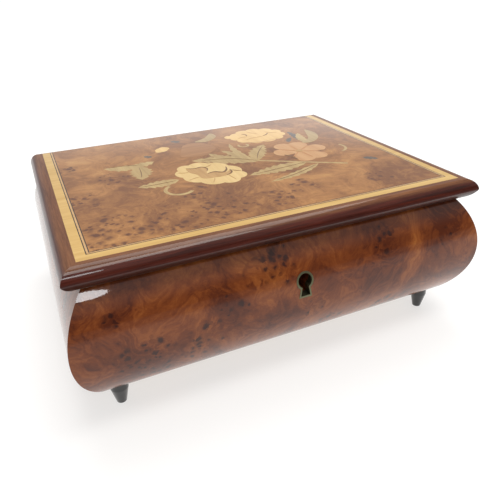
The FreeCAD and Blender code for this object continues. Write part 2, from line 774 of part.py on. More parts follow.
def make_lid():
    front = make_rail("lid_rail_front", -lid_front, -lid_x, lid_x, [(-1, lid_x), (1, lid_x)], 0)
    make_rail("lid_rail_right", lid_x, lid_front, lipping_y, [(-1, -lid_front)], 90)
    make_rail("lid_rail_left", lid_x, -lipping_y, -lid_front, [(1, -lid_front)], -90)
    recess_half = d.link_wide / 2 + d.fit_gap
    recess = box_loop(-link_half - d.fit_gap, lock_mid_y - recess_half, link_half + d.fit_gap,
                      lock_mid_y + recess_half)
    pocket(front, "XY_Plane", d.rim_height - 1, d.rim_height + d.hinge_leaf, recess)

    lipping = new_body("lid_back_lipping")
    right = [(lid_x - p[0], p[1], *([p[2]] if len(p) > 2 else [])) for p in nose_profile(0)[:3]]
    left = [(p[0] - lid_x, p[1]) for p in nose_profile(0)[:3]]
    under, upper = nose_profile(0)[0][2], nose_profile(0)[1][2]
    pad(lipping, "XZ_Plane", lipping_y, half_y,
        [right[0], right[1], (right[2][0], right[2][1]), (*left[2], upper), (*left[1], under), left[0]])
    pocket(lipping, "YZ_Plane", -lid_x - 1, lid_x + 1,
           [(half_y + 1, lid_top - d.back_round), (half_y + 1, lid_top + 1),
            (half_y - d.back_round, lid_top + 1),
            (half_y - d.back_round, lid_top, -d.back_round), (half_y, lid_top - d.back_round)])
    add_node(lipping, "lid_back_lipping")

    core = new_body("lid_core")
    core_x = lid_x - d.rail_width
    pad(core, "XY_Plane", d.rim_height, veneer_floor,
        box_loop(-core_x, lid_front + d.rail_width, core_x, lipping_y))
    pocket(core, "XY_Plane", d.rim_height - 1, d.rim_height + d.hinge_leaf, recess)
    add_node(core, "lid_core")

    for item in (core, lipping):
        for centre in hinge_places:
            low, high = centre - d.hinge_wide / 2, centre + d.hinge_wide / 2
            knuckle_room = half_y - d.knuckle_radius - d.knuckle_room
            if item is core:
                pocket(item, "XY_Plane", d.rim_height - 1, d.rim_height + d.hinge_leaf,
                       box_loop(low, leaf_reach_y, high, half_y + 1))
            else:
                pocket(item, "XY_Plane", d.rim_height - 1, d.rim_height + d.knuckle_radius + d.knuckle_room,
                       box_loop(low, knuckle_room, high, half_y + 1))

    for label, outer, inner in (("maple_band", band_1, band_2), ("stringing_light", band_3, band_4)):
        band = new_body(label)
        pad(band, "XY_Plane", veneer_floor, lid_top, three_sided(outer, inner))
        add_node(band, label)
    lines = []
    for number, (outer, inner) in enumerate(((band_2, band_3), (band_4, band_5)), start=1):
        line = new_body(f"dark_line_{number}")
        pad(line, "XY_Plane", veneer_floor, lid_top, three_sided(outer, inner))
        lines.append(line)
    compound("stringing_dark", lines)


# ---------------------------------------------------------------- marquetry

DRAWN_LID = (200.0, 153.4)


def lid_point(x, y):
    """A point of the marquetry, drawn on a lid of DRAWN_LID and stretched to this one."""
    across, along = d.lid_width.value / DRAWN_LID[0], d.lid_depth.value / DRAWN_LID[1]
    return Vector(x * across, y * along + lid_mid_y.value, veneer_floor.value)


def slab(edges):
    face = Part.Face(Part.Wire(edges))
    return face.extrude(Vector(0, 0, d.veneer_thick.value))


def scalloped(x, y, long, short, tilt, lobes, swell=1.12, start=0.0):
    """An oval edged with equal outward lobes."""
    turn = math.radians(tilt)

    def at(angle, grow):
        u, v = long * grow * math.cos(angle), short * grow * math.sin(angle)
        return lid_point(x + u * math.cos(turn) - v * math.sin(turn),
                         y + u * math.sin(turn) + v * math.cos(turn))

    step = 2 * math.pi / lobes
    edges = []
    for number in range(lobes):
        angle = start + number * step
        arc = Part.Arc(at(angle, 1), at(angle + step / 2, swell), at(angle + step, 1))
        edges.append(arc.toShape())
    return slab(edges)


def petal(x, y, angle, long, wide):
    """A rounded petal that springs from (x, y)."""
    turn = math.radians(angle)

    def at(u, v):
        return lid_point(x + u * math.cos(turn) - v * math.sin(turn),
                         y + u * math.sin(turn) + v * math.cos(turn))

    right = Part.Arc(at(0, -wide * 0.16), at(long * 0.45, -wide * 0.42), at(long * 0.75, -wide / 2)).toShape()
    tip = Part.Arc(at(long * 0.75, -wide / 2), at(long, 0), at(long * 0.75, wide / 2)).toShape()
    left = Part.Arc(at(long * 0.75, wide / 2), at(long * 0.45, wide * 0.42), at(0, wide * 0.16)).toShape()
    close = Part.LineSegment(at(0, wide * 0.16), at(0, -wide * 0.16)).toShape()
    return slab([right, tip, left, close])


def leaf_blade(base, tip, wide, bow=0.0, teeth=6, cut=0.28, fullest=0.45):
    """A toothed leaf from base to tip; bow bends it to the left as a share of its length."""
    run = (tip[0] - base[0], tip[1] - base[1])
    length = math.hypot(*run)
    along = (run[0] / length, run[1] / length)
    across = (-along[1], along[0])

    def at(share, side):
        rise = 4 * bow * share * (1 - share) * length + side
        return lid_point(base[0] + along[0] * share * length + across[0] * rise,
                         base[1] + along[1] * share * length + across[1] * rise)

    def half_width(share):
        shape = share / fullest if share < fullest else (1 - share) / (1 - fullest)
        return wide / 2 * math.sin(math.pi / 2 * shape) ** 0.8

    left, right = [], []
    for number in range(1, teeth + 1):
        share = number / (teeth + 1)
        full = half_width(share) + 0.25
        left += [at(share - 0.35 / (teeth + 1), full * (1 - cut)), at(share, full)]
        right += [at(share - 0.35 / (teeth + 1), -full * (1 - cut)), at(share, -full)]
    points = [at(0, 0)] + left + [at(1, 0)] + right[::-1]
    return slab(list(Part.makePolygon(points + [points[0]]).Edges))


def ribbon(points, wide):
    """A curling stem of even width through three points."""
    start, middle, end = [lid_point(*p) for p in points]
    centre = Part.Circle(start, middle, end).Center
    edges = []
    for sign in (1, -1):
        moved = []
        for point in (start, middle, end):
            radial = (point - centre).normalize() * (wide / 2 * sign)
            moved.append(point + radial)
        edges.append(moved)
    outer, inner = edges
    sides = [Part.Arc(*outer).toShape(), Part.LineSegment(outer[2], inner[2]).toShape(),
             Part.Arc(*inner[::-1]).toShape(), Part.LineSegment(inner[0], outer[0]).toShape()]
    return slab(sides)


def joined(shapes):
    whole = shapes[0].multiFuse(shapes[1:]) if len(shapes) > 1 else shapes[0]
    return whole.removeSplitter()


def marquetry_shapes():
    """Each veneer's shapes; an earlier veneer is cut out of every later one."""
    cream = [scalloped(-14.8, -3.6, 18.2, 14.0, -52, 9)]
    yellow = [scalloped(36.6, 47.0, 16.6, 14.0, 0, 11), petal(23, 50.5, 165, 7.5, 6.5),
              scalloped(-26.6, 47.6, 5.0, 3.4, 45, 5)]
    orange_petals = ((112, 18.0), (66, 17.0), (5, 17.5), (-62, 18.0), (-104, 18.0), (170, 15.5))
    orange = [petal(44.6, 6.4, angle, length, 11.5) for angle, length in orange_petals]
    leaves = [
        leaf_blade((17.5, 1.5), (-17.5, 19), 15, -0.06, 7),
        leaf_blade((8, 8), (-4.5, 27), 7, 0.08, 4),
        leaf_blade((11, 8.5), (4, 28.5), 6.5, -0.05, 4),
        leaf_blade((15.2, 2.7), (31.3, 27.5), 11, 0.05, 6),
        leaf_blade((14.2, 4.4), (13.4, 39), 4.5, 0.07, 5),
        leaf_blade((38.6, -12.5), (2.0, -17), 11, 0.0, 7),
        leaf_blade((43.0, -17.5), (7.5, -30.4), 5.5, 0.05, 6),
        leaf_blade((-32.5, -5.6), (-54.2, -6.5), 9.5, 0.04, 5),
        leaf_blade((-46.5, 24.5), (-49.6, 3.3), 12.5, 0.03, 5),
        leaf_blade((-45, 25.5), (-64.6, 29.2), 9.5, 0.10, 4),
        leaf_blade((-50, 25.5), (-36.6, 28.6), 8, -0.05, 3),
        leaf_blade((57, 18), (61.5, 39), 6, 0.06, 5),
        ribbon([(-39.8, -12.4), (-37.8, -25.0), (-31.2, -22.6)], 1.9),
        ribbon([(15.6, 2.4), (34.5, -10.2), (57, -25.0)], 1.8),
        ribbon([(71.5, 6), (71.5, -1.5), (66.3, -5.6)], 1.5),
        ribbon([(18, 34), (20.5, 29), (22.3, 33.5)], 1.4),
    ]
    dark = [
        leaf_blade((-12, 57), (-17, 62.5), 4.2, 0.05, 2),
        leaf_blade((-35.5, 36.5), (-39.6, 40.5), 3.6, 0.05, 2),
        leaf_blade((55.0, 24.5), (57.0, 45), 5.0, -0.06, 5),
        leaf_blade((69.5, -21), (76, -27), 4.6, 0.05, 3),
        leaf_blade((47, 24.5), (53, 32.5), 3.4, 0.05, 3),
    ]
    return {"flower_cream": cream, "flower_yellow": yellow, "flower_orange": orange,
            "inlaid_leaves": leaves, "inlaid_dark_leaves": dark}


def add_veneer(label, shape):
    item = doc.addObject("Part::Feature", f"{label}_veneer")
    item.Shape = shape
    add_node(item, label)


def make_marquetry():
    side, front, back = (lid_x - band_5).value, (lid_front + band_5).value, lipping_y.value
    corners = [Vector(x, y, veneer_floor.value)
               for x, y in ((-side, front), (side, front), (side, back), (-side, back), (-side, front))]
    ground = slab(list(Part.makePolygon(corners).Edges))
    taken = None
    for label, shapes in marquetry_shapes().items():
        whole = joined(shapes)
        if taken is not None:
            whole = whole.cut(taken)
        taken = whole if taken is None else taken.fuse(whole)
        ground = ground.cut(whole)
        add_veneer(label, whole)
    add_veneer("burl_field", ground)


# ---------------------------------------------------------------- fittings inside the case

def make_interior():
    gap = d.fit_gap
    left_face = partition_x - d.partition_thick
    partition = new_body("partition")
    pad(partition, "XY_Plane", floor_z, d.partition_height,
        box_loop(left_face, -inner_y + gap, partition_x, inner_y - gap))
    add_node(partition, "partition")

    divider = new_body("tray_divider")
    divider_end = left_face - d.lining_thick
    lined_x = inner_x - d.lining_thick
    pad(divider, "XY_Plane", floor_z, d.divider_height,
        box_loop(-lined_x + gap, d.divider_line, divider_end - gap, d.divider_line + d.partition_thick))
    pad(divider, "XY_Plane", floor_z, floor_z + d.shelf_tall,
        box_loop(-lined_x + gap, -inner_y + d.lining_thick + gap, divider_end - gap, d.divider_line + 1))
    add_node(divider, "tray_divider")

    lining = new_body("case_lining")
    outer_x, outer_y = inner_x - gap, inner_y - gap
    pad(lining, "XY_Plane", floor_z, d.partition_height - d.lining_drop,
        box_loop(-outer_x, -outer_y, left_face - gap, outer_y),
        box_loop(-lined_x, -(inner_y - d.lining_thick), divider_end, inner_y - d.lining_thick))
    lock_half = d.lock_wide / 2 + d.lock_room
    pocket(lining, "XZ_Plane", -inner_y - 1, -inner_y + d.lining_thick + 1,
           box_loop(-lock_half, lock_low - d.lock_room, lock_half, d.rim_height))
    add_node(lining, "case_lining")

    back_low = d.divider_line + d.partition_thick + d.soft_gap
    back_high = inner_y - d.lining_thick - d.soft_gap
    tray = new_body("tray_pad")
    soft_start, soft_end = -lined_x + d.soft_gap, divider_end - d.soft_gap
    pad(tray, "XY_Plane", floor_z, floor_z + d.pad_thick, box_loop(soft_start, back_low, soft_end, back_high))
    add_node(tray, "tray_pad")

    front_low = -inner_y + d.lining_thick + d.soft_gap
    front_high = d.divider_line - d.soft_gap
    roll_step = (front_high - front_low) / d.roll_count
    rolls = []
    radius = roll_step * d.roll_share / 2
    for number in range(int(d.roll_count.value)):
        roll = new_body(f"ring_roll_{number + 1}")
        pad(roll, "YZ_Plane", soft_start, soft_end,
            ring(front_low + roll_step * (number + 0.5), floor_z + d.shelf_tall + radius, radius))
        rolls.append(roll)
    compound("ring_rolls", rolls)

    strips = []
    for number, side in enumerate((-1, 1), start=1):
        strip = new_body(f"ledge_{number}")
        ends = sorted([side * (inner_y - d.ledge_width), side * (inner_y - gap)], key=lambda size: size.value)
        pad(strip, "XY_Plane", d.cover_height - d.ledge_tall, d.cover_height,
            box_loop(partition_x, ends[0], inner_x, ends[1]))
        strips.append(strip)
    compound("cover_ledges", strips)

    cover = new_body("movement_cover")
    pad(cover, "XY_Plane", d.cover_height, d.cover_height + d.cover_thick,
        box_loop(partition_x + d.cover_gap, -inner_y + d.cover_gap, inner_x - d.cover_gap,
                 inner_y - d.cover_gap))
    pocket(cover, "XY_Plane", d.cover_height - 1, d.cover_height + d.cover_thick + 1,
           ring(worm_x, plunger_y, d.plunger_radius + d.plunger_room),
           ring(movement_x, inner_y - d.finger_hole_line, d.finger_hole_radius))
    add_node(cover, "movement_cover")

    panel = new_body("lid_lining_panel")
    half_w, half_d = inner_x - d.panel_gap, inner_y - d.panel_gap
    mirror_x, mirror_y = d.mirror_wide / 2, d.mirror_deep / 2
    pad(panel, "XY_Plane", panel_z, d.rim_height, box_loop(-half_w, -half_d, half_w, half_d),
        box_loop(-mirror_x, -mirror_y, mirror_x, mirror_y))
    add_node(panel, "lid_lining_panel")
    mirror = new_body("lid_mirror")
    pad(mirror, "XY_Plane", d.rim_height - d.mirror_thick, d.rim_height,
        box_loop(-mirror_x + gap, -mirror_y + gap, mirror_x - gap, mirror_y - gap))
    add_node(mirror, "lid_mirror")
    frame = new_body("mirror_frame")
    wide = d.mirror_frame_width / 2
    pad(frame, "XY_Plane", panel_z - d.mirror_frame_thick, panel_z,
        box_loop(-mirror_x - wide, -mirror_y - wide, mirror_x + wide, mirror_y + wide),
        box_loop(-mirror_x + wide, -mirror_y + wide, mirror_x - wide, mirror_y - wide))
    add_node(frame, "mirror_frame")


# ---------------------------------------------------------------- movement: fixed pieces

worm_low = d.axis_height - d.worm_pitch * 3
worm_high = d.axis_height + d.worm_pitch * 3
fan_low = worm_high + d.fan_rise
fan_top = fan_low + d.fan_tall
worm_foot_z = worm_low - d.worm_end_gap              # faces of the two pivot arms
worm_top_z = fan_top + d.worm_end_gap


def make_bed():
    bed = new_body("bedplate")
    middle_y = (governor_y - d.bed_front_lip + barrel_y + d.barrel_radius + d.bed_back_lip) / 2
    low_x, high_x = movement_x - d.bed_wide / 2, movement_x + d.bed_wide / 2
    low_y, high_y = middle_y - d.bed_long / 2, middle_y + d.bed_long / 2
    pad(bed, "XY_Plane", bed_z, bed_top, box_loop(low_x, low_y, high_x, high_y))
    posts = [(x, y) for y in (low_y + d.post_inset, high_y - d.post_inset)
             for x in (low_x + d.post_inset, high_x - d.post_inset)]
    pad(bed, "XY_Plane", floor_z, bed_z + d.bed_thick / 4, *[ring(x, y, d.post_radius) for x, y in posts])
    pocket(bed, "XY_Plane", floor_z - 1, bed_top + 1,
           ring(barrel_x, barrel_y, d.winding_radius + d.pin_clearance),
           ring(worm_x, plunger_y, d.plunger_radius + d.pin_clearance))
    add_node(bed, "bedplate")
    under = []
    for number, (x, y) in enumerate(posts):
        length = d.base_thick + d.bed_lift + d.bed_screw_bite
        under.append(make_screw(f"bed_screw_{number}", length, x, y, d.case_lift, FACE_DOWN))
    lap_x, lap_y = inner_x + d.base_lap / 2, inner_y + d.base_lap / 2
    spots = [(0, -lap_y), (0, lap_y), (-lap_x, 0), (lap_x, 0)]
    for number, (x, y) in enumerate(spots):
        under.append(make_screw(f"base_screw_{number}", d.base_screw_long, x, y, d.case_lift, FACE_DOWN))
    compound("underside_screws", under)


comb_tip_x = movement_x - (d.cylinder_radius + d.pin_tall + d.comb_gap)
comb_root_x = comb_tip_x - d.tooth_long
comb_back_x = comb_tip_x - d.comb_long
comb_mid_y = (cylinder_start + cylinder_end) / 2


def make_comb():
    low_z = d.axis_height - d.comb_thick / 2
    half = d.note_pitch * d.note_count / 2
    comb = new_body("comb")
    pad(comb, "XY_Plane", low_z, low_z + d.comb_thick,
        box_loop(comb_back_x, comb_mid_y - half - d.comb_edge, comb_tip_x, comb_mid_y + half + d.comb_edge))
    count = int(d.note_count.value)
    slots = []
    for number in range(count + 1):
        y = comb_mid_y + d.note_pitch * (number - count / 2)
        depth = d.bass_longer * number / count
        slots.append(box_loop(comb_root_x + depth, y - d.tooth_slit / 2,
                              comb_tip_x + 1, y + d.tooth_slit / 2))
    pocket(comb, "XY_Plane", low_z - 1, low_z + d.comb_thick + 1, *slots)
    for side in (-1, 1):
        ends = sorted([side * (half + d.tooth_slit * 0.475), side * (half + d.comb_edge * 2)],
                      key=lambda size: size.value)
        pocket(comb, "XY_Plane", low_z - 1, low_z + d.comb_thick + 1,
               box_loop(comb_root_x, comb_mid_y + ends[0], comb_tip_x + 1, comb_mid_y + ends[1]))
    add_node(comb, "comb")

    block = new_body("comb_block")
    pad(block, "XY_Plane", bed_top, low_z,
        box_loop(comb_back_x, comb_mid_y - half - d.comb_edge, comb_root_x - d.block_set_back,
                 comb_mid_y + half + d.comb_edge))
    add_node(block, "comb_block")
    top = low_z + d.comb_thick
    screws = []
    shank, head, tall = d.comb_screw_radius, d.comb_head_radius, d.comb_head_tall
    slot = d.comb_slot_wide / 2
    for step in (-d.comb_screw_step, as_size(0), d.comb_screw_step):
        screw = new_body(f"comb_screw_{len(screws)}")
        lathe(screw, [(0, -d.comb_screw_long), (shank, -d.comb_screw_long), (shank, 0), (head, 0),
                      (head, tall), (0, tall)])
        pocket(screw, "XY_Plane", tall - d.comb_slot_deep, tall + 1,
               box_loop(-head - 1, -slot, head + 1, slot))
        place(screw, (comb_back_x + comb_root_x - d.block_set_back) / 2, comb_mid_y + step, top)
        screws.append(screw)
    compound("comb_screws", screws)


def make_brackets():
    bridge = new_body("barrel_bridge")
    near = pinion_y + d.bridge_from_pinion
    far = near + d.bridge_thick
    leg_in = d.barrel_radius + d.bridge_clear
    leg_out = leg_in + d.bridge_leg
    beam_low, beam_high = barrel_top + d.beam_clear, d.axis_height + d.beam_over
    pad(bridge, "XZ_Plane", near, far,
        [(movement_x - leg_out, bed_top), (movement_x - leg_in, bed_top), (movement_x - leg_in, beam_low),
         (movement_x + leg_in, beam_low), (movement_x + leg_in, bed_top), (movement_x + leg_out, bed_top),
         (movement_x + leg_out, beam_high), (movement_x - leg_out, beam_high)])
    arm_half = d.winding_radius + d.bridge_from_pinion
    pad(bridge, "XY_Plane", beam_low, beam_low + d.bridge_thick,
        box_loop(movement_x - arm_half, far - d.bridge_thick / 4, movement_x + arm_half, barrel_y + arm_half))
    for side in (-1, 1):
        ends = [movement_x + side * leg_in, movement_x + side * (leg_out + d.bridge_leg)]
        ends.sort(key=lambda size: size.value)
        pad(bridge, "XY_Plane", bed_top, bed_top + d.bracket_foot,
            box_loop(ends[0], near - d.bridge_thick, ends[1], far + d.bridge_thick))
    pocket(bridge, "XZ_Plane", near - 1, far + 1,
           ring(movement_x, d.axis_height, d.arbor_radius + d.pin_clearance))
    pocket(bridge, "XY_Plane", beam_low - 1, beam_low + 3,
           ring(barrel_x, barrel_y, d.winding_radius + d.pin_clearance))
    add_node(bridge, "barrel_bridge")

    frame = new_body("governor_frame")
    near, far = governor_y - d.frame_front, governor_y + d.frame_back
    post_x = worm_x + d.fan_span / 2 + 0.7
    post_far = post_x + d.frame_pillar
    plate_left, plate_right = movement_x - d.plate_edge, governor_x + d.plate_rim
    step_left = worm_x - d.frame_pillar
    pad(frame, "XY_Plane", bed_top, bed_top + d.bracket_foot, box_loop(plate_left, near, post_far, far))
    plate_top = d.axis_height + d.frame_over
    pad(frame, "XZ_Plane", far - d.frame_plate, far,
        box_loop(plate_left, bed_top, plate_right, plate_top))
    pad(frame, "XZ_Plane", near, near + d.frame_plate,
        box_loop(governor_x - d.plate_rim * 1.875, bed_top, plate_right, plate_top))
    pad(frame, "XZ_Plane", governor_y - 1, governor_y + 1,
        [(post_x, bed_top), (post_far, bed_top), (post_far, worm_top_z + d.bracket_foot),
         (step_left, worm_top_z + d.bracket_foot), (step_left, worm_top_z), (post_x, worm_top_z),
         (post_x, worm_foot_z), (step_left, worm_foot_z), (step_left, worm_foot_z - d.bracket_foot),
         (post_x, worm_foot_z - d.bracket_foot)])
    clear = d.arbor_radius + d.pin_clearance
    pocket(frame, "XZ_Plane", near - 1, far + 1, ring(governor_x, d.axis_height, clear))
    pocket(frame, "XZ_Plane", far - 1.5, far + 1, ring(movement_x, d.axis_height, clear))
    pocket(frame, "XY_Plane", worm_low - 4, fan_top + 4,
           ring(worm_x, governor_y, d.worm_pivot + d.pin_clearance))
    add_node(frame, "governor_frame")


# ---------------------------------------------------------------- movement: turning pieces

def spun(radius, side, turn):
    """The point at a radius and a sideways step, turned about the origin."""
    x = radius * math.cos(turn) - side * math.sin(turn)
    y = radius * math.sin(turn) + side * math.cos(turn)
    return (x, y)


def tooth_pattern(body, low, high, inner, outer, root_half, tip_half, count, turn):
    """One straight-sided tooth from the inner to the outer radius, repeated around Z."""
    corners = ((inner, -root_half), (outer, -tip_half), (outer, tip_half), (inner, root_half))
    tooth = pad(body, "XY_Plane", low, high, [spun(radius, side, turn) for radius, side in corners])
    pattern = body.newObject("PartDesign::PolarPattern", f"{body.Name}_teeth")
    pattern.Originals = [tooth]
    pattern.Axis = (origin_item(body, "Z_Axis"), [""])
    pattern.Angle = 360
    pattern.Occurrences = int(count.value)
    bind(pattern, "Occurrences", count)
    body.Tip = pattern


def toothed(body, low, high, root_radius, tip_radius, root_half, tip_half, count, first=0.0):
    """Teeth that grow out of a disc of root_radius, the first one at the given angle."""
    tooth_pattern(body, low, high, root_radius - 0.3, tip_radius, root_half, tip_half, count,
                  math.radians(first))


def disc(body, low, high, radius):
    return pad(body, "XY_Plane", low, high, ring(0, 0, radius))


def along_y(body, x, z, start=0):
    """Lays a body's Z axis along +Y at (x, z)."""
    return place(body, x, start, z, FACE_BACK)


def make_cylinder():
    tube = new_body("tune_cylinder")
    wall = d.cylinder_radius - d.cylinder_wall
    lathe(tube, [(d.arbor_radius, 0), (d.cylinder_radius, 0), (d.cylinder_radius, d.cylinder_long),
                 (d.arbor_radius, d.cylinder_long), (d.arbor_radius, d.cylinder_long - 1.5),
                 (wall, d.cylinder_long - 1.5), (wall, 1.5), (d.arbor_radius, 1.5)])
    along_y(tube, movement_x, d.axis_height, cylinder_start)
    add_node(tube, "tune_cylinder")

    arbor = new_body("cylinder_arbor")
    wheel_low = cylinder_start - 2
    rod_low = governor_y + d.frame_back - d.frame_plate
    rod_high = pinion_y + d.bridge_from_pinion + d.bridge_thick
    disc(arbor, rod_low, rod_high, d.arbor_radius)
    disc(arbor, wheel_low, wheel_low + 1.4, wheel_radius - d.train_module)
    tooth_root = d.train_module * 0.62
    toothed(arbor, wheel_low, wheel_low + 1.4, wheel_radius - d.train_module,
            wheel_radius + d.train_module * 0.7, tooth_root, d.train_module * 0.26, d.wheel_teeth)
    disc(arbor, pinion_y - 1, pinion_y + 1, pinion_pitch_radius - 0.9)
    toothed(arbor, pinion_y - 1, pinion_y + 1, pinion_pitch_radius - 0.9, pinion_pitch_radius + 0.6,
            0.42, 0.24, d.pinion_teeth, 90)
    along_y(arbor, movement_x, d.axis_height)
    add_node(arbor, "cylinder_arbor")

    rows = int(d.note_count.value)
    pins = []
    radius = d.cylinder_radius.value
    for note in range(rows):
        y = comb_mid_y.value + d.note_pitch.value * (note - (rows - 1) / 2)
        for beat in range(5):
            angle = math.radians(((note * 7 + beat * 29 + (note * beat * 5) % 11) * 12.5) % 330 + 15)
            way = Vector(math.cos(angle), 0, math.sin(angle))
            start = Vector(movement_x.value, y, d.axis_height.value) + way * (radius - 0.4)
            pins.append(Part.makeCylinder(d.pin_radius.value, d.pin_tall.value + 0.4, start, way))
    item = doc.addObject("Part::Feature", "cylinder_pins_set")
    item.Shape = Part.makeCompound(pins)
    item.Placement = Placement()
    add_node(item, "cylinder_pins")


def make_barrel():
    low = barrel_top - d.barrel_wall - d.barrel_tall
    bore = d.winding_radius + d.pin_clearance
    drum = new_body("barrel_drum")
    inside = d.barrel_radius - d.barrel_wall
    rim = barrel_top - d.barrel_wall
    lathe(drum, [(bore, low), (d.barrel_radius, low), (d.barrel_radius, rim), (inside, rim),
                 (inside, low + d.barrel_wall), (bore, low + d.barrel_wall)])
    place(drum, barrel_x, barrel_y)
    add_node(drum, "barrel_drum")

    crown = new_body("crown_gear")
    lathe(crown, [(bore, rim), (d.barrel_radius, rim), (d.barrel_radius, barrel_top), (bore, barrel_top)])
    half_tooth = crown_pitch * 0.15
    start = d.crown_radius - d.crown_tooth_long / 2
    tooth_pattern(crown, barrel_top - 0.2, crown_z + 0.55, start, start + d.crown_tooth_long,
                  half_tooth, half_tooth, d.crown_teeth, math.pi / d.crown_teeth.value - math.pi / 2)
    place(crown, barrel_x, barrel_y)
    add_node(crown, "crown_gear")

    spring = new_body("mainspring")
    gap = 0.3
    disc(spring, low + d.barrel_wall + gap, rim - gap, inside - gap)
    pocket(spring, "XY_Plane", low, barrel_top, ring(0, 0, inside - 4))
    place(spring, barrel_x, barrel_y)
    add_node(spring, "mainspring")

    winding = new_body("winding_arbor")
    disc(winding, d.socket_floor, barrel_top + d.beam_clear + d.bridge_thick, d.winding_radius)
    place(winding, barrel_x, barrel_y)
    add_node(winding, "winding_arbor")

    key = new_body("winding_key")
    socket = d.socket_radius
    lathe(key, [(d.winding_radius, d.socket_floor), (d.winding_radius, d.socket_top), (socket, d.socket_top),
                (socket, d.key_low), (0, d.key_low), (0, d.socket_floor)])
    wing = d.key_wide / 2
    thick = d.key_wing / 2
    bevel = wing - d.key_bevel
    waist, waist_z = 3, 6.4
    outline = [(-wing, 2.6), (-bevel, 1.4), (bevel, 1.4), (wing, 2.6), (wing, 7.2), (bevel, 8.4),
               (waist, waist_z), (-waist, waist_z), (-bevel, 8.4), (-wing, 7.2)]
    pad(key, "XZ_Plane", -thick, thick, outline)
    place(key, barrel_x, barrel_y)
    add_node(key, "winding_key")


def make_governor():
    wheel = new_body("governor_wheel")
    disc(wheel, governor_y - d.frame_front, cylinder_start - 0.4, d.arbor_radius)
    tip = worm_wheel_radius + 0.4
    disc(wheel, governor_y - 0.5, governor_y + 0.5, worm_wheel_radius - 0.6)
    toothed(wheel, governor_y - 0.5, governor_y + 0.5, worm_wheel_radius - 0.6, tip, 0.36, 0.2,
            d.worm_wheel_teeth)
    leaf_low = cylinder_start - 2.2
    disc(wheel, leaf_low, leaf_low + 1.8, leaf_radius - d.train_module * 0.75)
    toothed(wheel, leaf_low, leaf_low + 1.8, leaf_radius - d.train_module * 0.75,
            leaf_radius + d.train_module * 0.7, d.train_module * 0.42, d.train_module * 0.26,
            d.leaf_teeth, 22.5)
    along_y(wheel, governor_x, d.axis_height)
    add_node(wheel, "governor_wheel")

    worm = new_body("governor_worm")
    core = d.worm_radius - 0.55
    disc(worm, worm_low - 0.6, worm_high + 0.5, core)
    disc(worm, worm_low - 2.4, fan_top + 2.4, d.worm_pivot)
    sketch = add_sketch(worm, "XZ_Plane", 0,
                        [[(core - 0.2, worm_low - 0.3), (d.worm_radius + 0.35, worm_low - 0.14),
                          (d.worm_radius + 0.35, worm_low + 0.14), (core - 0.2, worm_low + 0.3)]])
    thread = worm.newObject("PartDesign::AdditiveHelix", "worm_thread")
    thread.Profile = sketch
    thread.ReferenceAxis = (origin_item(worm, "Z_Axis"), [""])
    thread.Mode = 0
    thread.Pitch = d.worm_pitch.value
    bind(thread, "Pitch", d.worm_pitch)
    thread.Height = (d.worm_pitch * 6).value
    bind(thread, "Height", d.worm_pitch * 6)
    worm.Tip = thread
    half = d.fan_span / 2
    pad(worm, "XZ_Plane", -d.fan_thick / 2, d.fan_thick / 2, box_loop(-half, fan_low, half, fan_top))
    place(worm, worm_x, governor_y)
    add_node(worm, "governor_worm")

    plunger = new_body("stop_plunger")
    disc(plunger, floor_z + 0.6, panel_z - 0.3, d.plunger_radius)
    pad(plunger, "XY_Plane", fan_top - 1.4, fan_top - 0.2,
        box_loop(-0.5, -(plunger_y - governor_y - d.fan_span / 2 - 0.3), 0.5, 0))
    place(plunger, worm_x, plunger_y)
    add_node(plunger, "stop_plunger")


make_case()
make_lock()
make_hinges()
make_lid()
make_marquetry()
make_interior()
make_bed()
make_comb()
make_brackets()
make_cylinder()
make_barrel()
make_governor()


# ---------------------------------------------------------------- checks and files

def faults():
    for item in doc.Objects:
        for state in item.State:
            if state in ("Invalid", "Error"):
                yield f"{item.Name}: {state}"
    for label, item in NODES.items():
        if item.Shape.isNull() or not item.Shape.isValid() or not item.Shape.Solids:
            yield f"{label}: its shape is empty or not valid"


doc.recompute()
found = list(faults())
if found:
    raise RuntimeError("; ".join(found))
os.makedirs("parts", exist_ok=True)
for label, item in NODES.items():
    item.Shape.exportStep(f"parts/{label}.step")
print(len(NODES), "nodes written")
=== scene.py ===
import math

import bmesh
import bpy
from mathutils import Matrix, Vector


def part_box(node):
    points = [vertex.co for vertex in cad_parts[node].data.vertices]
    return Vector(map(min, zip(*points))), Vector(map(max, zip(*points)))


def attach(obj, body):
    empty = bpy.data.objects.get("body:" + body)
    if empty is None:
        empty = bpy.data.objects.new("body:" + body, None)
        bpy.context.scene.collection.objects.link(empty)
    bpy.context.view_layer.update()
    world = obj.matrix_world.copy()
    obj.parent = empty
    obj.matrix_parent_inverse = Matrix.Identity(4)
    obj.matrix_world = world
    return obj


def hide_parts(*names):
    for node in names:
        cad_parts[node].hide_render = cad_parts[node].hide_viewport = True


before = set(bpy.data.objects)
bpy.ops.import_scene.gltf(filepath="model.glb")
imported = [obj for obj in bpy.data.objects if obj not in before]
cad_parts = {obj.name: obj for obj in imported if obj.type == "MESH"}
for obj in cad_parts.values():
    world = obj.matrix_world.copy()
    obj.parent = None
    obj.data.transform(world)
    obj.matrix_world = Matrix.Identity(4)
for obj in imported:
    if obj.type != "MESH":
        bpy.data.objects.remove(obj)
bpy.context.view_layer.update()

MM = 0.001
DRAWN_LID_WIDTH = 200      # the lid's width in millimetres that the inlay's outlines are drawn for


# ---------------------------------------------------------------- camera, floor and light

# The camera's angles are in degrees, its target and distance in lid widths from the middle of the
# lid in plan and from the table up, its lens and sensor in millimetres.
CAMERA_AZIMUTH = -23.84
CAMERA_ELEVATION = 28.87
CAMERA_ROLL = -1.53
CAMERA_TARGET = Vector((0.0966, 0.1231, 0.0496))
CAMERA_DISTANCE = 1.6707
CAMERA_LENS = 36.27
SENSOR_WIDTH = 36

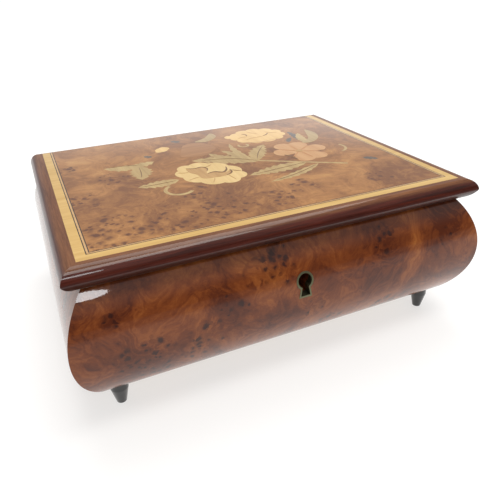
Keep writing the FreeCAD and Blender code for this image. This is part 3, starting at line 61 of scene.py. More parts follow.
LID_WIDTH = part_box("lid_back_lipping")[1].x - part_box("lid_back_lipping")[0].x
LID_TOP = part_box("burl_field")[1].z
LID_LOW, LID_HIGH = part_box("lid_rail_front")[0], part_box("lid_back_lipping")[1]
LID_MIDDLE = Vector((0, (LID_LOW.y + LID_HIGH.y) / 2, 0))


def make_camera():
    azimuth = math.radians(CAMERA_AZIMUTH)
    elevation = math.radians(CAMERA_ELEVATION)
    roll = math.radians(CAMERA_ROLL)
    target = LID_MIDDLE + CAMERA_TARGET * LID_WIDTH
    back = Vector((math.sin(azimuth) * math.cos(elevation), -math.cos(azimuth) * math.cos(elevation),
                   math.sin(elevation)))
    right = (-back).cross(Vector((0, 0, 1))).normalized()
    up = right.cross(-back)
    turned_right = right * math.cos(roll) + up * math.sin(roll)
    turned_up = up * math.cos(roll) - right * math.sin(roll)
    data = bpy.data.cameras.new("camera")
    data.sensor_width = SENSOR_WIDTH
    data.lens = CAMERA_LENS
    data.clip_start = 0.01
    camera = bpy.data.objects.new("camera", data)
    bpy.context.collection.objects.link(camera)
    turn = Matrix((turned_right, turned_up, back)).transposed()
    camera.matrix_world = Matrix.Translation(target + back * CAMERA_DISTANCE * LID_WIDTH) @ turn.to_4x4()
    bpy.context.scene.camera = camera


def area_light(name, place, aim, size, power, colour=(1, 1, 1), shape="RECTANGLE"):
    data = bpy.data.lights.new(name, "AREA")
    data.shape = shape
    data.size, data.size_y = size
    data.energy = power
    data.color = colour
    lamp = bpy.data.objects.new(name, data)
    lamp.location = place
    lamp.rotation_euler = (Vector(aim) - Vector(place)).to_track_quat("-Z", "Y").to_euler()
    bpy.context.collection.objects.link(lamp)


# Where the floor changes, in metres behind the middle of the box, and how strongly it glows there.
FLOOR_LIT = (-0.46, -0.20)
FLOOR_FAR = (0.15, 1.2)
GLOW_NEAR, GLOW_MIDDLE, GLOW_FAR = 0.12, 0.66, 0.85


def make_floor():
    """A pale floor that glows, with painted shade towards the viewer, so that the front wall mirrors it in
    two bands.
    """
    bpy.ops.mesh.primitive_plane_add(size=40)
    floor = bpy.context.object
    floor.name = "floor"
    material, net, shader = new_material("pale_floor")
    ahead = net.axis(net.add("ShaderNodeTexCoord").outputs["Object"], 1)
    lit = net.step(ahead, *FLOOR_LIT)
    shade = net.blend(lit, (0.15, 0.147, 0.144), (0.30, 0.30, 0.30))
    glow = net.mix(net.step(ahead, *FLOOR_FAR), net.mix(lit, GLOW_NEAR, GLOW_MIDDLE), GLOW_FAR)
    set_shader(net, shader, Base_Color=shade, Roughness=0.6, Emission_Color=(1.0, 0.985, 0.965, 1.0),
               Emission_Strength=glow)
    floor.data.materials.append(material)


def make_world():
    """A grey room with a bright low band behind the box and a dark one in front of it."""
    world = bpy.context.scene.world or bpy.data.worlds.new("world")
    bpy.context.scene.world = world
    world.use_nodes = True
    net = Net(world.node_tree)
    net.tree.nodes.clear()
    ray = net.add("ShaderNodeTexCoord").outputs["Generated"]
    height = net.axis(ray, 2)
    behind = net.step(net.dot(ray, (0.62, 0.78, 0.0)), 0.15, 0.85)
    to_left = net.step(net.dot(ray, (-1.0, 0.15, 0.0)), -0.25, 0.55)
    front = net.mix(net.step(height, 0.16, 0.50), 0.05, 0.62)
    level = net.mix(behind, front, net.mix(net.step(height, 0.25, 0.32), 1.1, 0.36))
    level = net.mix(to_left, level, 0.52)
    shader = net.add("ShaderNodeBackground", {"Color": (0.985, 0.99, 1.0), "Strength": level})
    out = net.add("ShaderNodeOutputWorld")
    net.tree.links.new(shader.outputs[0], out.inputs[0])


def make_lights():
    area_light("overhead", (0.25, 0.55, 1.3), (0, 0, 0), (1.2, 0.9), 15)
    area_light("key", (0.15, -0.35, 1.5), (0, 0, 0), (0.8, 0.5), 12, (1.0, 0.985, 0.96))
    area_light("window", (-0.06, -0.84, 0.76), (-0.08, -0.08, 0.06), (0.11, 0.19), 1.0, (0.97, 0.98, 1.0),
               "ELLIPSE")
    view = bpy.context.scene.view_settings
    view.view_transform = "Standard"
    view.look = "None"


# ---------------------------------------------------------------- material nodes

class Net:
    """Short names for the shader nodes that the materials use."""

    def __init__(self, tree):
        self.tree = tree

    def add(self, kind, inputs=None, **settings):
        node = self.tree.nodes.new(kind)
        for name, value in settings.items():
            setattr(node, name, value)
        for name, value in (inputs or {}).items():
            self.feed(node.inputs[name], value)
        return node

    def feed(self, socket, value):
        if isinstance(value, bpy.types.NodeSocket):
            self.tree.links.new(value, socket)
        elif isinstance(value, (tuple, list)) and len(value) == 3 and len(socket.default_value) == 4:
            socket.default_value = (*value, 1)
        else:
            socket.default_value = value

    def math(self, kind, first, second=0.0, third=None):
        node = self.add("ShaderNodeMath", operation=kind)
        for index, value in enumerate((first, second, third)):
            if value is not None:
                self.feed(node.inputs[index], value)
        return node.outputs[0]

    def vector(self, kind, first, second=(0, 0, 0), scale=None):
        node = self.add("ShaderNodeVectorMath", operation=kind)
        self.feed(node.inputs[0], first)
        self.feed(node.inputs[1], second)
        if scale is not None:
            self.feed(node.inputs["Scale"], scale)
        return node.outputs["Value"] if kind in ("DOT_PRODUCT", "DISTANCE") else node.outputs[0]

    def dot(self, first, second):
        return self.vector("DOT_PRODUCT", first, second)

    def axis(self, vector, index):
        return self.add("ShaderNodeSeparateXYZ", {0: vector}).outputs[index]

    def step(self, value, low, high):
        node = self.add("ShaderNodeMapRange", {"Value": value, "From Min": low, "From Max": high},
                        interpolation_type="SMOOTHSTEP")
        return node.outputs["Result"]

    def mix(self, share, first, second):
        node = self.add("ShaderNodeMix", data_type="FLOAT")
        for index, value in zip((0, 2, 3), (share, first, second)):
            self.feed(node.inputs[index], value)
        return node.outputs[0]

    def blend(self, share, first, second):
        node = self.add("ShaderNodeMix", data_type="RGBA")
        for index, value in zip((0, 6, 7), (share, first, second)):
            self.feed(node.inputs[index], value)
        return node.outputs[2]

    def noise(self, vector, scale, detail=4, rough=0.55, distortion=0.0, colour=False):
        node = self.add("ShaderNodeTexNoise", {"Vector": vector, "Scale": scale, "Detail": detail,
                                               "Roughness": rough, "Distortion": distortion})
        return node.outputs["Color" if colour else "Fac"]

    def cells(self, vector, scale):
        return self.add("ShaderNodeTexVoronoi", {"Vector": vector, "Scale": scale}, feature="F1")

    def ramp(self, value, stops):
        node = self.add("ShaderNodeValToRGB", {"Fac": value})
        band = node.color_ramp
        while len(band.elements) < len(stops):
            band.elements.new(0.5)
        for element, (place, colour) in zip(band.elements, stops):
            element.position = place
            element.color = (*colour, 1)
        return node.outputs["Color"]

    def millimetres(self, shift=(0, 0, 0), stretch=(1, 1, 1)):
        """Object coordinates in millimetres, stretched and then shifted."""
        coord = self.add("ShaderNodeTexCoord").outputs["Object"]
        scaled = self.vector("MULTIPLY", coord, tuple(s / MM for s in stretch))
        return self.vector("ADD", scaled, shift)

    def bump(self, height, depth_mm):
        node = self.add("ShaderNodeBump", {"Height": height, "Strength": 1.0, "Distance": depth_mm * MM})
        return node.outputs["Normal"]


def new_material(name):
    material = bpy.data.materials.new(name)
    material.use_nodes = True
    net = Net(material.node_tree)
    shader = material.node_tree.nodes["Principled BSDF"]
    return material, net, shader


def set_shader(net, shader, **values):
    for name, value in values.items():
        net.feed(shader.inputs[name.replace("_", " ")], value)


def plain(name, colour, roughness, **values):
    material, net, shader = new_material(name)
    speck = net.noise(net.millimetres(), 0.8, 3)
    shade = net.blend(net.math("MULTIPLY", speck, 0.06), colour, tuple(c * 0.8 for c in colour))
    set_shader(net, shader, Base_Color=shade, Roughness=roughness, **values)
    return material


def lacquer(net, shader, colour, coat=1.0):
    """Clear gloss lacquer over the colour, with the slight waviness of a sprayed coat."""
    peel = net.noise(net.millimetres(), 0.35, 2)
    set_shader(net, shader, Base_Color=colour, Roughness=0.4, Coat_Weight=coat, Coat_Roughness=0.035,
               Coat_IOR=1.38, Specular_IOR_Level=0.08)
    net.feed(shader.inputs["Coat Normal"], net.bump(peel, 0.010))


# ---------------------------------------------------------------- woods

def near_spots(net, plane, spots):
    """1 near any of the spots, each (first, second, reach) in the plane's millimetres, and 0 away."""
    near = 0.0
    for first, second, reach in spots:
        centre = (first, 0, second) if plane[1] == 0 else (first, second, 0)
        away = net.vector("DISTANCE", net.vector("MULTIPLY", net.millimetres(), plane), centre)
        near = net.math("MAXIMUM", near, net.math("SUBTRACT", 1.0, net.step(away, reach * 0.3, reach * 1.3)))
    return near


def burl_pattern(net, place, eye_scale=0.30, plane=(1, 0, 1), spots=()):
    """Burl figure at a place in millimetres: broad clouds, flowing lines, fibre, eyes and halos.

    The eyes come in two sizes: each row is a cell scale, the least and greatest radius, and the
    share of the cells that stay empty.
    """
    drift = net.vector("SUBTRACT", net.noise(place, 0.022, 3, colour=True), (0.5, 0.5, 0.5))
    warped = net.vector("ADD", place, net.vector("SCALE", drift, scale=44))
    patchy = net.noise(net.vector("ADD", place, (31, 7, 3)), 0.045, 3, 0.6)
    if spots:
        background = net.math("MULTIPLY", patchy, 0.8)
        placed = net.math("MULTIPLY", near_spots(net, plane, spots), 0.45)
        crowded = net.step(net.math("ADD", background, placed), 0.60, 0.74)
    else:
        crowded = net.step(patchy, 0.50, 0.60)
    jitter = net.vector("SUBTRACT", net.noise(place, 0.30, 2, colour=True), (0.5, 0.5, 0.5))
    knots = net.vector("ADD", place, net.vector("SCALE", jitter, scale=3.4))
    eyes = halos = None
    for scale, low, high, empty in ((eye_scale, 0.24, 0.62, 0.34), (eye_scale * 0.5, 0.16, 0.40, 0.55)):
        cell = net.cells(knots, scale)
        away = cell.outputs["Distance"]
        chosen = net.step(net.axis(cell.outputs["Color"], 0), empty, empty + 0.05)
        kept = net.math("MULTIPLY", crowded, chosen)
        size = net.mix(net.axis(cell.outputs["Color"], 1), low, high)
        near = net.math("DIVIDE", away, size)
        eye = net.math("MULTIPLY", net.math("SUBTRACT", 1.0, net.step(near, 0.42, 1.08)), kept)
        halo = net.math("MULTIPLY", net.math("SUBTRACT", 1.0, net.step(near, 0.5, 2.4)), kept)
        eyes = eye if eyes is None else net.math("MAXIMUM", eyes, eye)
        halos = halo if halos is None else net.math("MAXIMUM", halos, halo)
    clouds = net.noise(warped, 0.030, 4, 0.55, 0.6)
    wavy = net.noise(warped, 0.045, 4, 0.55, 1.2)
    phase = net.math("ADD", net.math("MULTIPLY", wavy, 42.0), net.math("MULTIPLY", halos, 4.0))
    lines = net.math("MULTIPLY_ADD", net.math("SINE", phase), 0.5, 0.5)
    lines = net.math("MULTIPLY", lines, net.noise(warped, 0.10, 2))
    fibre = net.noise(warped, 0.9, 4, 0.7, 0.8)
    return clouds, lines, fibre, eyes, halos, crowded


def burl(name, palette, shift, eye_colour, stretch=(1, 1, 1), **pattern):
    """Lacquered burl veneer; palette runs from the darkest to the lightest wood."""
    material, net, shader = new_material(name)
    place = net.millimetres(shift, stretch)
    clouds, lines, fibre, eyes, halos, crowded = burl_pattern(net, place, **pattern)
    tone = net.math("MULTIPLY", clouds, 0.80)
    tone = net.math("ADD", tone, net.math("MULTIPLY", lines, 0.14))
    tone = net.math("ADD", tone, net.math("MULTIPLY", net.math("SUBTRACT", fibre, 0.5), 0.22))
    tone = net.math("SUBTRACT", tone, net.math("MULTIPLY", crowded, 0.03))
    wood = net.ramp(tone, [(0.30, palette[0]), (0.42, palette[1]), (0.54, palette[2]), (0.68, palette[3])])
    wood = net.blend(net.math("MULTIPLY", halos, 0.55), wood, palette[0])
    wood = net.blend(net.math("MULTIPLY", eyes, 0.8), wood, eye_colour)
    lacquer(net, shader, wood)
    return material


# Rail colours: dark and light wood for the flat top; the last two are painted shade, a shaded copy of the
# wood for the moulded edge and a near-black painted shadow at the rail's lower edge and underside.
MAHOGANY_DARK = (0.078, 0.024, 0.009)
MAHOGANY_LIGHT = (0.175, 0.068, 0.025)
MAHOGANY_SHADED_EDGE = (0.085, 0.016, 0.009)
MAHOGANY_PAINTED_SHADOW = (0.020, 0.009, 0.006)


def mahogany(name, along):
    """Rail wood: brown on the flat top, with painted shade darkening the moulded edge and a painted shadow
    at the rail's lower edge.
    """
    material, net, shader = new_material(name)
    stretch = (0.05, 1, 1) if along == "X" else (1, 0.05, 1)
    place = net.millimetres((7, 3, 11), stretch)
    broad = net.noise(place, 0.5, 4, 0.6, 0.5)
    pores = net.noise(place, 2.4, 4, 0.75)
    tone = net.math("ADD", net.math("MULTIPLY", broad, 0.55), net.math("MULTIPLY", pores, 0.45))
    top = net.ramp(tone, [(0.38, MAHOGANY_DARK), (0.62, MAHOGANY_LIGHT)])
    # Painted shade: the moulded edge takes a darker copy of the wood than the flat top.
    side = net.ramp(tone, [(0.38, tuple(c * 0.35 for c in MAHOGANY_SHADED_EDGE)), (0.62, MAHOGANY_SHADED_EDGE)])
    height = net.axis(net.millimetres(), 2)
    flat = net.step(height, LID_TOP / MM - 1.6, LID_TOP / MM - 0.25)
    # Painted shadow: towards the rail's lower edge the wood fades to a near-black colour.
    painted_shadow_fade = net.step(height, LID_LOW.z / MM + 1.5, LID_LOW.z / MM + 6.5)
    side = net.blend(net.math("MULTIPLY_ADD", painted_shadow_fade, 0.85, 0.15), MAHOGANY_PAINTED_SHADOW, side)
    lacquer(net, shader, net.blend(flat, side, top), coat=0.55)
    return material


def straight_wood(name, dark, light, along, scale=1.0, contrast=1.0, shift=(0, 0, 0), gloss=True):
    """Wood with its grain along X, Y or Z."""
    material, net, shader = new_material(name)
    stretch = [1.0, 1.0, 1.0]
    stretch["XYZ".index(along)] = 0.06
    place = net.millimetres(shift, tuple(s * scale for s in stretch))
    broad = net.noise(place, 0.35, 4, 0.6, 0.4)
    pores = net.noise(place, 3.2, 3, 0.7)
    tone = net.math("ADD", net.math("MULTIPLY", broad, 0.75), net.math("MULTIPLY", pores, 0.25))
    half = 0.16 / contrast
    wood = net.ramp(tone, [(0.5 - half, dark), (0.5 + half, light)])
    if gloss:
        lacquer(net, shader, wood)
    else:
        set_shader(net, shader, Base_Color=wood, Roughness=0.6)
        net.feed(shader.inputs["Normal"], net.bump(pores, 0.02))
    return material


LID_PALETTE = [(0.150, 0.055, 0.016), (0.240, 0.100, 0.028), (0.330, 0.150, 0.044), (0.430, 0.225, 0.072)]
CASE_PALETTE = [(0.085, 0.018, 0.006), (0.175, 0.042, 0.010), (0.270, 0.078, 0.018), (0.390, 0.142, 0.035)]
LID_EYE = (0.070, 0.021, 0.010)
CASE_EYE = (0.022, 0.006, 0.005)

# Where the eyes crowd: (first, second, reach) in millimetres, seen from above and from the front.
LID_SPOTS = [(-68, -54, 26), (-45, -51, 22), (-24, -49, 20), (-2, -53, 15), (-82, -16, 14), (-84, 32, 12),
             (-62, 8, 12), (20, -46, 11), (60, -52, 9), (-16, 66, 8), (-30, -30, 11)]
FRONT_SPOTS = [(-82, 36, 10), (-69, 33, 17), (-50, 32, 15), (-37, 45, 13), (-10, 60, 12), (-23, 57, 9),
               (44, 58, 9), (84, 55, 9), (-86, 55, 5), (18, 22, 9), (50, 20, 10), (4, 34, 8)]


def make_woods():
    dress("burl_field", burl("burl_lid", LID_PALETTE, (13, 40, 5), LID_EYE, eye_scale=0.32,
                             plane=(1, 1, 0), spots=LID_SPOTS))
    faces = {"front_panel": ((0, 0, 0), (1, 0.4, 1)), "back_panel": ((90, 50, 20), (1, 0.4, 1)),
             "left_panel": ((40, 20, 80), (0.4, 1, 1)), "right_panel": ((70, 10, 130), (0.4, 1, 1))}
    for node, (shift, stretch) in faces.items():
        spots = FRONT_SPOTS if node == "front_panel" else ()
        dress(node, burl(f"burl_{node}", CASE_PALETTE, shift, CASE_EYE, stretch, spots=spots))
    for node, along in (("lid_rail_front", "X"), ("lid_rail_left", "Y"), ("lid_rail_right", "Y"),
                        ("lid_back_lipping", "X")):
        dress(node, mahogany(f"mahogany_{node}", along))
    dress("maple_band", straight_wood("maple", (0.42, 0.25, 0.07), (0.56, 0.37, 0.13), "X", 1.0, 0.8))
    dress("stringing_dark", straight_wood("dyed_line", (0.012, 0.008, 0.006), (0.030, 0.018, 0.012), "X"))
    dress("stringing_light", straight_wood("light_line", (0.38, 0.22, 0.09), (0.50, 0.31, 0.14), "X"))
    veneers = {"flower_cream": ((0.48, 0.32, 0.12), (0.62, 0.44, 0.20)),
               "flower_yellow": ((0.52, 0.32, 0.11), (0.66, 0.44, 0.18)),
               "flower_orange": ((0.40, 0.20, 0.08), (0.50, 0.29, 0.13)),
               "inlaid_leaves": ((0.27, 0.17, 0.065), (0.46, 0.33, 0.14)),
               "inlaid_dark_leaves": ((0.050, 0.040, 0.034), (0.13, 0.10, 0.075))}
    for node, (dark, light) in veneers.items():
        dress(node, straight_wood(node, dark, light, "Y", 0.8, 0.8, (17, 3, 8)))
    inside = straight_wood("plain_wood", (0.27, 0.15, 0.07), (0.42, 0.26, 0.13), "X", gloss=False)
    for node in ("base_board", "partition", "tray_divider", "cover_ledges", "lid_core"):
        dress(node, inside)
    feet = plain("black_lacquer", (0.008, 0.008, 0.008), 0.22, Coat_Weight=0.6, Coat_Roughness=0.08)
    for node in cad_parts:
        if node.startswith("foot_"):
            dress(node, feet)


# ---------------------------------------------------------------- metals, glass and velvet

def metal(name, colour, roughness):
    material, net, shader = new_material(name)
    marks = net.noise(net.millimetres(stretch=(1, 1, 0.2)), 0.6, 5, 0.65)
    shade = net.blend(net.math("MULTIPLY", marks, 0.35), colour, tuple(c * 0.72 for c in colour))
    set_shader(net, shader, Base_Color=shade, Metallic=1.0, Roughness=roughness)
    net.feed(shader.inputs["Normal"], net.bump(marks, 0.006))
    return material


def velvet(name, colour):
    material, net, shader = new_material(name)
    pile = net.noise(net.millimetres(), 3.5, 4, 0.75)
    lay = net.noise(net.millimetres((5, 9, 2)), 0.05, 3, 0.6)
    shade = net.blend(net.math("MULTIPLY", lay, 0.7), colour, tuple(c * 0.5 for c in colour))
    shade = net.blend(net.math("MULTIPLY", pile, 0.3), shade, tuple(min(1, c * 1.7) for c in colour))
    set_shader(net, shader, Base_Color=shade, Roughness=0.92, Sheen_Weight=0.75, Sheen_Roughness=0.35,
               Sheen_Tint=(0.9, 0.35, 0.38))
    net.feed(shader.inputs["Normal"], net.bump(pile, 0.12))
    return material


def make_metals():
    brass = metal("brass", (0.62, 0.42, 0.16), 0.26)
    steel = metal("steel", (0.52, 0.52, 0.54), 0.20)
    plated = metal("plated", (0.66, 0.58, 0.42), 0.30)
    for node in ("lock_case", "case_screws", "hinge_case_leaves", "hinge_pins", "hinge_lid_leaves",
                 "lid_screws", "link_plate", "lock_bolt", "mirror_frame", "tune_cylinder", "cylinder_arbor",
                 "crown_gear", "governor_wheel"):
        dress(node, brass)
    for node in ("comb", "comb_screws", "cylinder_pins", "winding_arbor", "mainspring", "stop_plunger",
                 "winding_key", "governor_worm", "underside_screws"):
        dress(node, steel)
    for node in ("bedplate", "barrel_bridge", "governor_frame", "comb_block", "barrel_drum"):
        dress(node, plated)
    dress("keyhole_escutcheon", metal("aged_brass", (0.17, 0.17, 0.10), 0.42))
    glass, net, shader = new_material("clear_plate")
    set_shader(net, shader, Base_Color=(0.96, 0.98, 0.98), Roughness=0.03, Transmission_Weight=1.0, IOR=1.45)
    dress("movement_cover", glass)
    mirror, net, shader = new_material("mirror")
    set_shader(net, shader, Base_Color=(0.86, 0.88, 0.88), Metallic=1.0, Roughness=0.015)
    dress("lid_mirror", mirror)
    cloth = velvet("velvet", (0.16, 0.006, 0.014))
    for node in ("case_lining", "tray_pad", "ring_rolls", "lid_lining_panel"):
        dress(node, cloth)


def dress(node, material):
    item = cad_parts[node]
    for slot in item.material_slots:
        slot.material = material
    if not item.material_slots:
        item.data.materials.append(material)


# ---------------------------------------------------------------- finer inlay on the lid

LOOP_STEPS = 6             # points that the smooth curves lay from each given point to the next
PATH_STEPS = 5


def between(before, start, end, after, share):
    """The point at a share of the way from start to end, on a smooth curve through all four."""
    return 0.5 * ((2 * start) + (end - before) * share
                  + (2 * before - 5 * start + 4 * end - after) * share ** 2
                  + (3 * start - before - 3 * end + after) * share ** 3)


def smooth_loop(points):
    """Points along a closed smooth curve through the given ones."""
    out = []
    count = len(points)
    for index in range(count):
        four = [Vector(points[(index + k) % count]) for k in (-1, 0, 1, 2)]
        out += [between(*four, step / LOOP_STEPS) for step in range(LOOP_STEPS)]
    return out


def smooth_path(points):
    """Points along an open smooth curve through the given ones."""
    path = [Vector(point) for point in points]
    last = len(path) - 1
    out = []
    for index in range(last):
        four = (path[max(index - 1, 0)], path[index], path[index + 1], path[min(index + 2, last)])
        out += [between(*four, step / PATH_STEPS) for step in range(PATH_STEPS)]
    return out + [path[-1]]


def inlay(name, points, material, proud, smooth=True):
    """A thin piece of shaded veneer on the lid, its outline in millimetres from the lid's middle."""
    mesh = bpy.data.meshes.new(name)
    shape = bmesh.new()
    scale = LID_WIDTH / DRAWN_LID_WIDTH
    outline = smooth_loop(points) if smooth else [Vector(point) for point in points]
    low = [shape.verts.new((p.x * scale, LID_MIDDLE.y + p.y * scale, LID_TOP)) for p in outline]
    face = shape.faces.new(low)
    moved = bmesh.ops.extrude_face_region(shape, geom=[face])["geom"]
    upper = [item for item in moved if isinstance(item, bmesh.types.BMVert)]
    bmesh.ops.translate(shape, vec=(0, 0, proud * MM), verts=upper)
    bmesh.ops.recalc_face_normals(shape, faces=shape.faces)
    shape.to_mesh(mesh)
    shape.free()
    piece = bpy.data.objects.new(name, mesh)
    bpy.context.collection.objects.link(piece)
    mesh.materials.append(material)
    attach(piece, "lid")


def stroke(name, points, width, material, proud):
    """A tapered line of inlay through the points."""
    fine = smooth_path(points)
    last = len(fine) - 1
    left, right = [], []
    for index, point in enumerate(fine):
        run = fine[min(index + 1, last)] - fine[max(index - 1, 0)]
        side = Vector((-run.y, run.x)).normalized()
        half = width / 2 * max(0.12, math.sin(math.pi * index / last) ** 0.6)
        left.append(point + side * half)
        right.append(point - side * half)
    inlay(name, left + right[::-1], material, proud, smooth=False)


FINE_WOODS = {
    "scorched": ((0.1, 0.045, 0.016), (0.2, 0.095, 0.034), "Y"),
    "amber": ((0.34, 0.19, 0.066), (0.46, 0.28, 0.11), "Y"),
    "russet": ((0.24, 0.105, 0.036), (0.32, 0.155, 0.058), "X"),
    "pale_olive": ((0.27, 0.18, 0.075), (0.38, 0.26, 0.11), "Y"),
    "blush": ((0.42, 0.24, 0.12), (0.54, 0.33, 0.18), "Y"),
    "coral": ((0.37, 0.165, 0.06), (0.45, 0.22, 0.09), "Y"),
}

# Each row is a name, a wood, a stroke's width or None for a closed outline, how far it stands
# proud, and its points.  All are in millimetres, from the lid's middle.  The folds of the orange
# flower are laid between the two lists.
FLOWER_MARKS = [
    ("cream_heart", "amber", None, 0.05,
     [(-24.5, 8), (-20.5, 6.2), (-16, 6.6), (-14.2, 3.5), (-16.6, -4), (-11, -3.4), (-6.4, -6.2),
      (-3.6, -3.6), (-5, -9.6), (-11, -11.4), (-20.6, -10), (-22, -3), (-24.6, 1.5)]),
    ("cream_curl_1", "scorched", 0.9, 0.09,
     [(-24.4, 8.6), (-20.4, 6.4), (-16.2, 7.0), (-14.0, 3.6), (-15.6, -0.6)]),
    ("cream_curl_2", "scorched", 1.3, 0.09,
     [(-16.8, -4.2), (-12.4, -3.2), (-8.6, -5.8), (-5.4, -3.0), (-4.0, 1.6)]),
    ("cream_curl_3", "scorched", 0.9, 0.09, [(-3.6, -3.2), (-4.4, -8.0), (-8.4, -11.0)]),
    ("cream_petal_1", "amber", 0.5, 0.09, [(-30.5, 4.0), (-27.0, 2.4), (-24.6, 2.8)]),
    ("cream_petal_2", "amber", 0.5, 0.09, [(-28.4, -9.0), (-25.0, -7.6), (-22.2, -7.0)]),
    ("cream_petal_3", "amber", 0.5, 0.09, [(-18.4, -17.6), (-16.4, -14.2), (-15.4, -11.4)]),
    ("cream_petal_4", "amber", 0.5, 0.09, [(-6.4, -19.0), (-6.8, -15.4), (-7.6, -11.6)]),
    ("cream_petal_5", "scorched", 0.6, 0.09, [(0.6, -8.4), (-1.6, -6.4), (-3.4, -4.8)]),
    ("cream_petal_6", "amber", 0.6, 0.09, [(-9.6, 8.8), (-11.6, 7.0), (-14.6, 6.0)]),
    ("yellow_mark_1", "scorched", 0.9, 0.06, [(28.6, 54.5), (30.4, 51.6), (29.6, 48.4)]),
    ("yellow_mark_2", "scorched", 0.9, 0.06, [(39.2, 44.6), (42.2, 46.0), (44.8, 48.8)]),
    ("yellow_petal_1", "amber", 0.7, 0.06, [(26.0, 41.0), (31.0, 43.4), (38.6, 43.6)]),
    ("yellow_petal_2", "amber", 0.7, 0.06, [(33.4, 58.4), (35.0, 54.4), (38.4, 51.6)]),
    ("yellow_petal_3", "amber", 0.6, 0.06, [(22.6, 46.4), (26.2, 47.8), (29.0, 47.2)]),
    ("yellow_petal_4", "amber", 0.6, 0.06, [(50.4, 46.6), (47.0, 48.6), (44.6, 51.6)]),
    ("yellow_rim", "blush", 0.9, 0.06, [(22.6, 36.6), (30.0, 34.0), (38.0, 33.6), (45.6, 35.4)]),
]
ORANGE_MIDDLE = (44.6, 6.4)
ORANGE_FOLDS = ((90, 12), (36, 12), (-28, 12), (-83, 13), (-136, 12), (141, 12))    # angle, reach
LEAF_MARKS = [
    ("orange_shade", "scorched", 1.5, 0.06, [(36.4, -7.0), (35.6, -1.0), (33.4, 4.0)]),
    ("orange_eye", "amber", None, 0.09, [(46.8, 6.4), (44.6, 8.4), (42.4, 6.6), (44.4, 4.4)]),
    ("russet_flower", "russet", None, 0.03,
     [(-20, 28), (-17, 40), (-12, 50), (-3, 50.5), (2, 44), (3.5, 36), (-1, 30), (-8, 25)]),
    ("olive_leaf_1", "pale_olive", None, 0.03,
     [(-4, 53), (4, 58), (11, 66), (12.5, 59), (8, 53), (2, 50)]),
    ("olive_leaf_2", "pale_olive", None, 0.03,
     [(54, 20), (62, 26), (67, 38), (70, 44), (72, 34), (68, 24), (60, 18)]),
    ("leaf_vein_1", "scorched", 0.5, 0.06, [(15.6, 2.6), (4.0, 12.4), (-12.0, 17.4)]),
    ("leaf_vein_2", "scorched", 0.5, 0.06, [(36.6, -12.8), (20.0, -14.8), (6.0, -16.5)]),
    ("leaf_vein_3", "scorched", 0.5, 0.06, [(16.6, 5.0), (22.0, 15.0), (29.4, 25.0)]),
    ("leaf_vein_4", "scorched", 0.45, 0.06, [(-46.6, 23.0), (-47.6, 14.0), (-49.2, 6.4)]),
    ("leaf_vein_5", "scorched", 0.45, 0.06, [(-46.4, 26.2), (-54.0, 29.2), (-61.8, 29.6)]),
    ("leaf_vein_6", "scorched", 0.45, 0.06, [(-34.2, -6.0), (-43.0, -6.8), (-52.0, -6.8)]),
    ("leaf_vein_7", "scorched", 0.45, 0.06, [(40.5, -18.9), (25.8, -25.6), (11.0, -29.6)]),
]


def lay_marks(marks, woods):
    for name, wood, width, proud, points in marks:
        if width is None:
            inlay(name, points, woods[wood], proud)
        else:
            stroke(name, points, width, woods[wood], proud)


def make_fine_inlay():
    woods = {}
    for name, (dark, light, along) in FINE_WOODS.items():
        woods[name] = straight_wood(f"{name}_veneer", dark, light, along, 0.8)
    lay_marks(FLOWER_MARKS, woods)
    for index, (angle, reach) in enumerate(ORANGE_FOLDS):
        turn = math.radians(angle)
        ends = [(ORANGE_MIDDLE[0] + math.cos(turn) * r, ORANGE_MIDDLE[1] + math.sin(turn) * r)
                for r in (2.2, reach * 0.55, reach)]
        stroke(f"orange_fold_{index}", ends, 1.1, woods["coral"], 0.06)
    lay_marks(LEAF_MARKS, woods)


# ---------------------------------------------------------------- velvet rolls and pad

ENLARGE = 20               # the cloth simulation runs at this many times the real size
CLOTH_FRAMES = 20


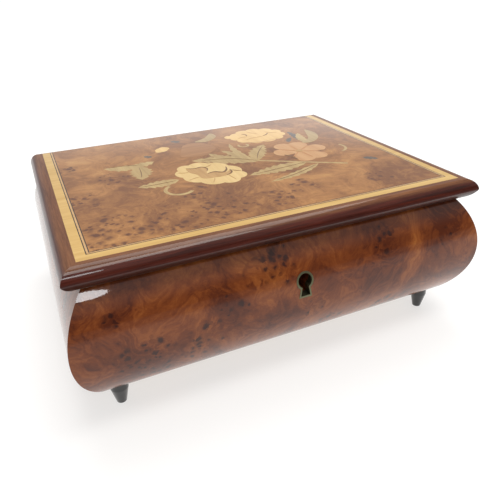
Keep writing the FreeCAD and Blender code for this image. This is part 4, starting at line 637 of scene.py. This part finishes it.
def stuffed(name, corner_low, corner_high, voxel, cap, pressure, node):
    """A cushion the size of a box, blown up by cloth simulation, with each point's move cut back to the cap.
    """
    centre = (corner_low + corner_high) / 2
    half = (corner_high - corner_low) / 2 - Vector((cap, cap, cap))
    bpy.ops.mesh.primitive_cube_add(size=2)
    piece = bpy.context.object
    piece.name = name
    for vertex in piece.data.vertices:
        vertex.co = Vector(vertex.co[k] * half[k] * ENLARGE for k in range(3))
    rounding = piece.modifiers.new("round", "BEVEL")
    rounding.width = min(half) * ENLARGE * 0.96
    rounding.segments = 8
    remesh = piece.modifiers.new("remesh", "REMESH")
    remesh.mode, remesh.voxel_size = "VOXEL", voxel * ENLARGE
    freeze(piece)
    start = [vertex.co.copy() for vertex in piece.data.vertices]
    cloth = piece.modifiers.new("cloth", "CLOTH")
    cloth.settings.use_pressure = True
    cloth.settings.uniform_pressure_force = pressure
    cloth.settings.effector_weights.gravity = 0
    scene = bpy.context.scene
    for number in range(1, CLOTH_FRAMES + 1):
        scene.frame_set(number)
    freeze(piece)
    scene.frame_set(1)
    for vertex, origin in zip(piece.data.vertices, start):
        move = vertex.co - origin
        if move.length > cap * ENLARGE:
            vertex.co = origin + move.normalized() * cap * ENLARGE
        vertex.co /= ENLARGE
    smoother = piece.modifiers.new("smooth", "SUBSURF")
    smoother.levels = smoother.render_levels = 1
    freeze(piece)
    for polygon in piece.data.polygons:
        polygon.use_smooth = True
    piece.location = centre
    piece.data.materials.clear()
    piece.data.materials.append(bpy.data.materials["velvet"])
    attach(piece, "case")
    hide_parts(node)


def freeze(piece):
    """Puts the modifiers' result in the piece's own mesh."""
    depsgraph = bpy.context.evaluated_depsgraph_get()
    mesh = bpy.data.meshes.new_from_object(piece.evaluated_get(depsgraph))
    piece.modifiers.clear()
    piece.data = mesh


ROLL_COUNT = 5


def make_padding():
    low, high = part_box("ring_rolls")
    thick = high.z - low.z
    pitch = (high.y - low.y - thick) / (ROLL_COUNT - 1)
    for number in range(ROLL_COUNT):
        front = low.y + pitch * number
        stuffed(f"velvet_roll_{number + 1}", Vector((low.x, front, low.z)),
                Vector((high.x, front + thick, high.z)), voxel=0.0009, cap=0.0003, pressure=3,
                node="ring_rolls")
    low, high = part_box("tray_pad")
    stuffed("velvet_tray_pad", low, high, voxel=0.0011, cap=0.0005, pressure=4, node="tray_pad")


make_camera()
make_floor()
make_world()
make_lights()
make_woods()
make_metals()
make_fine_inlay()
make_padding()
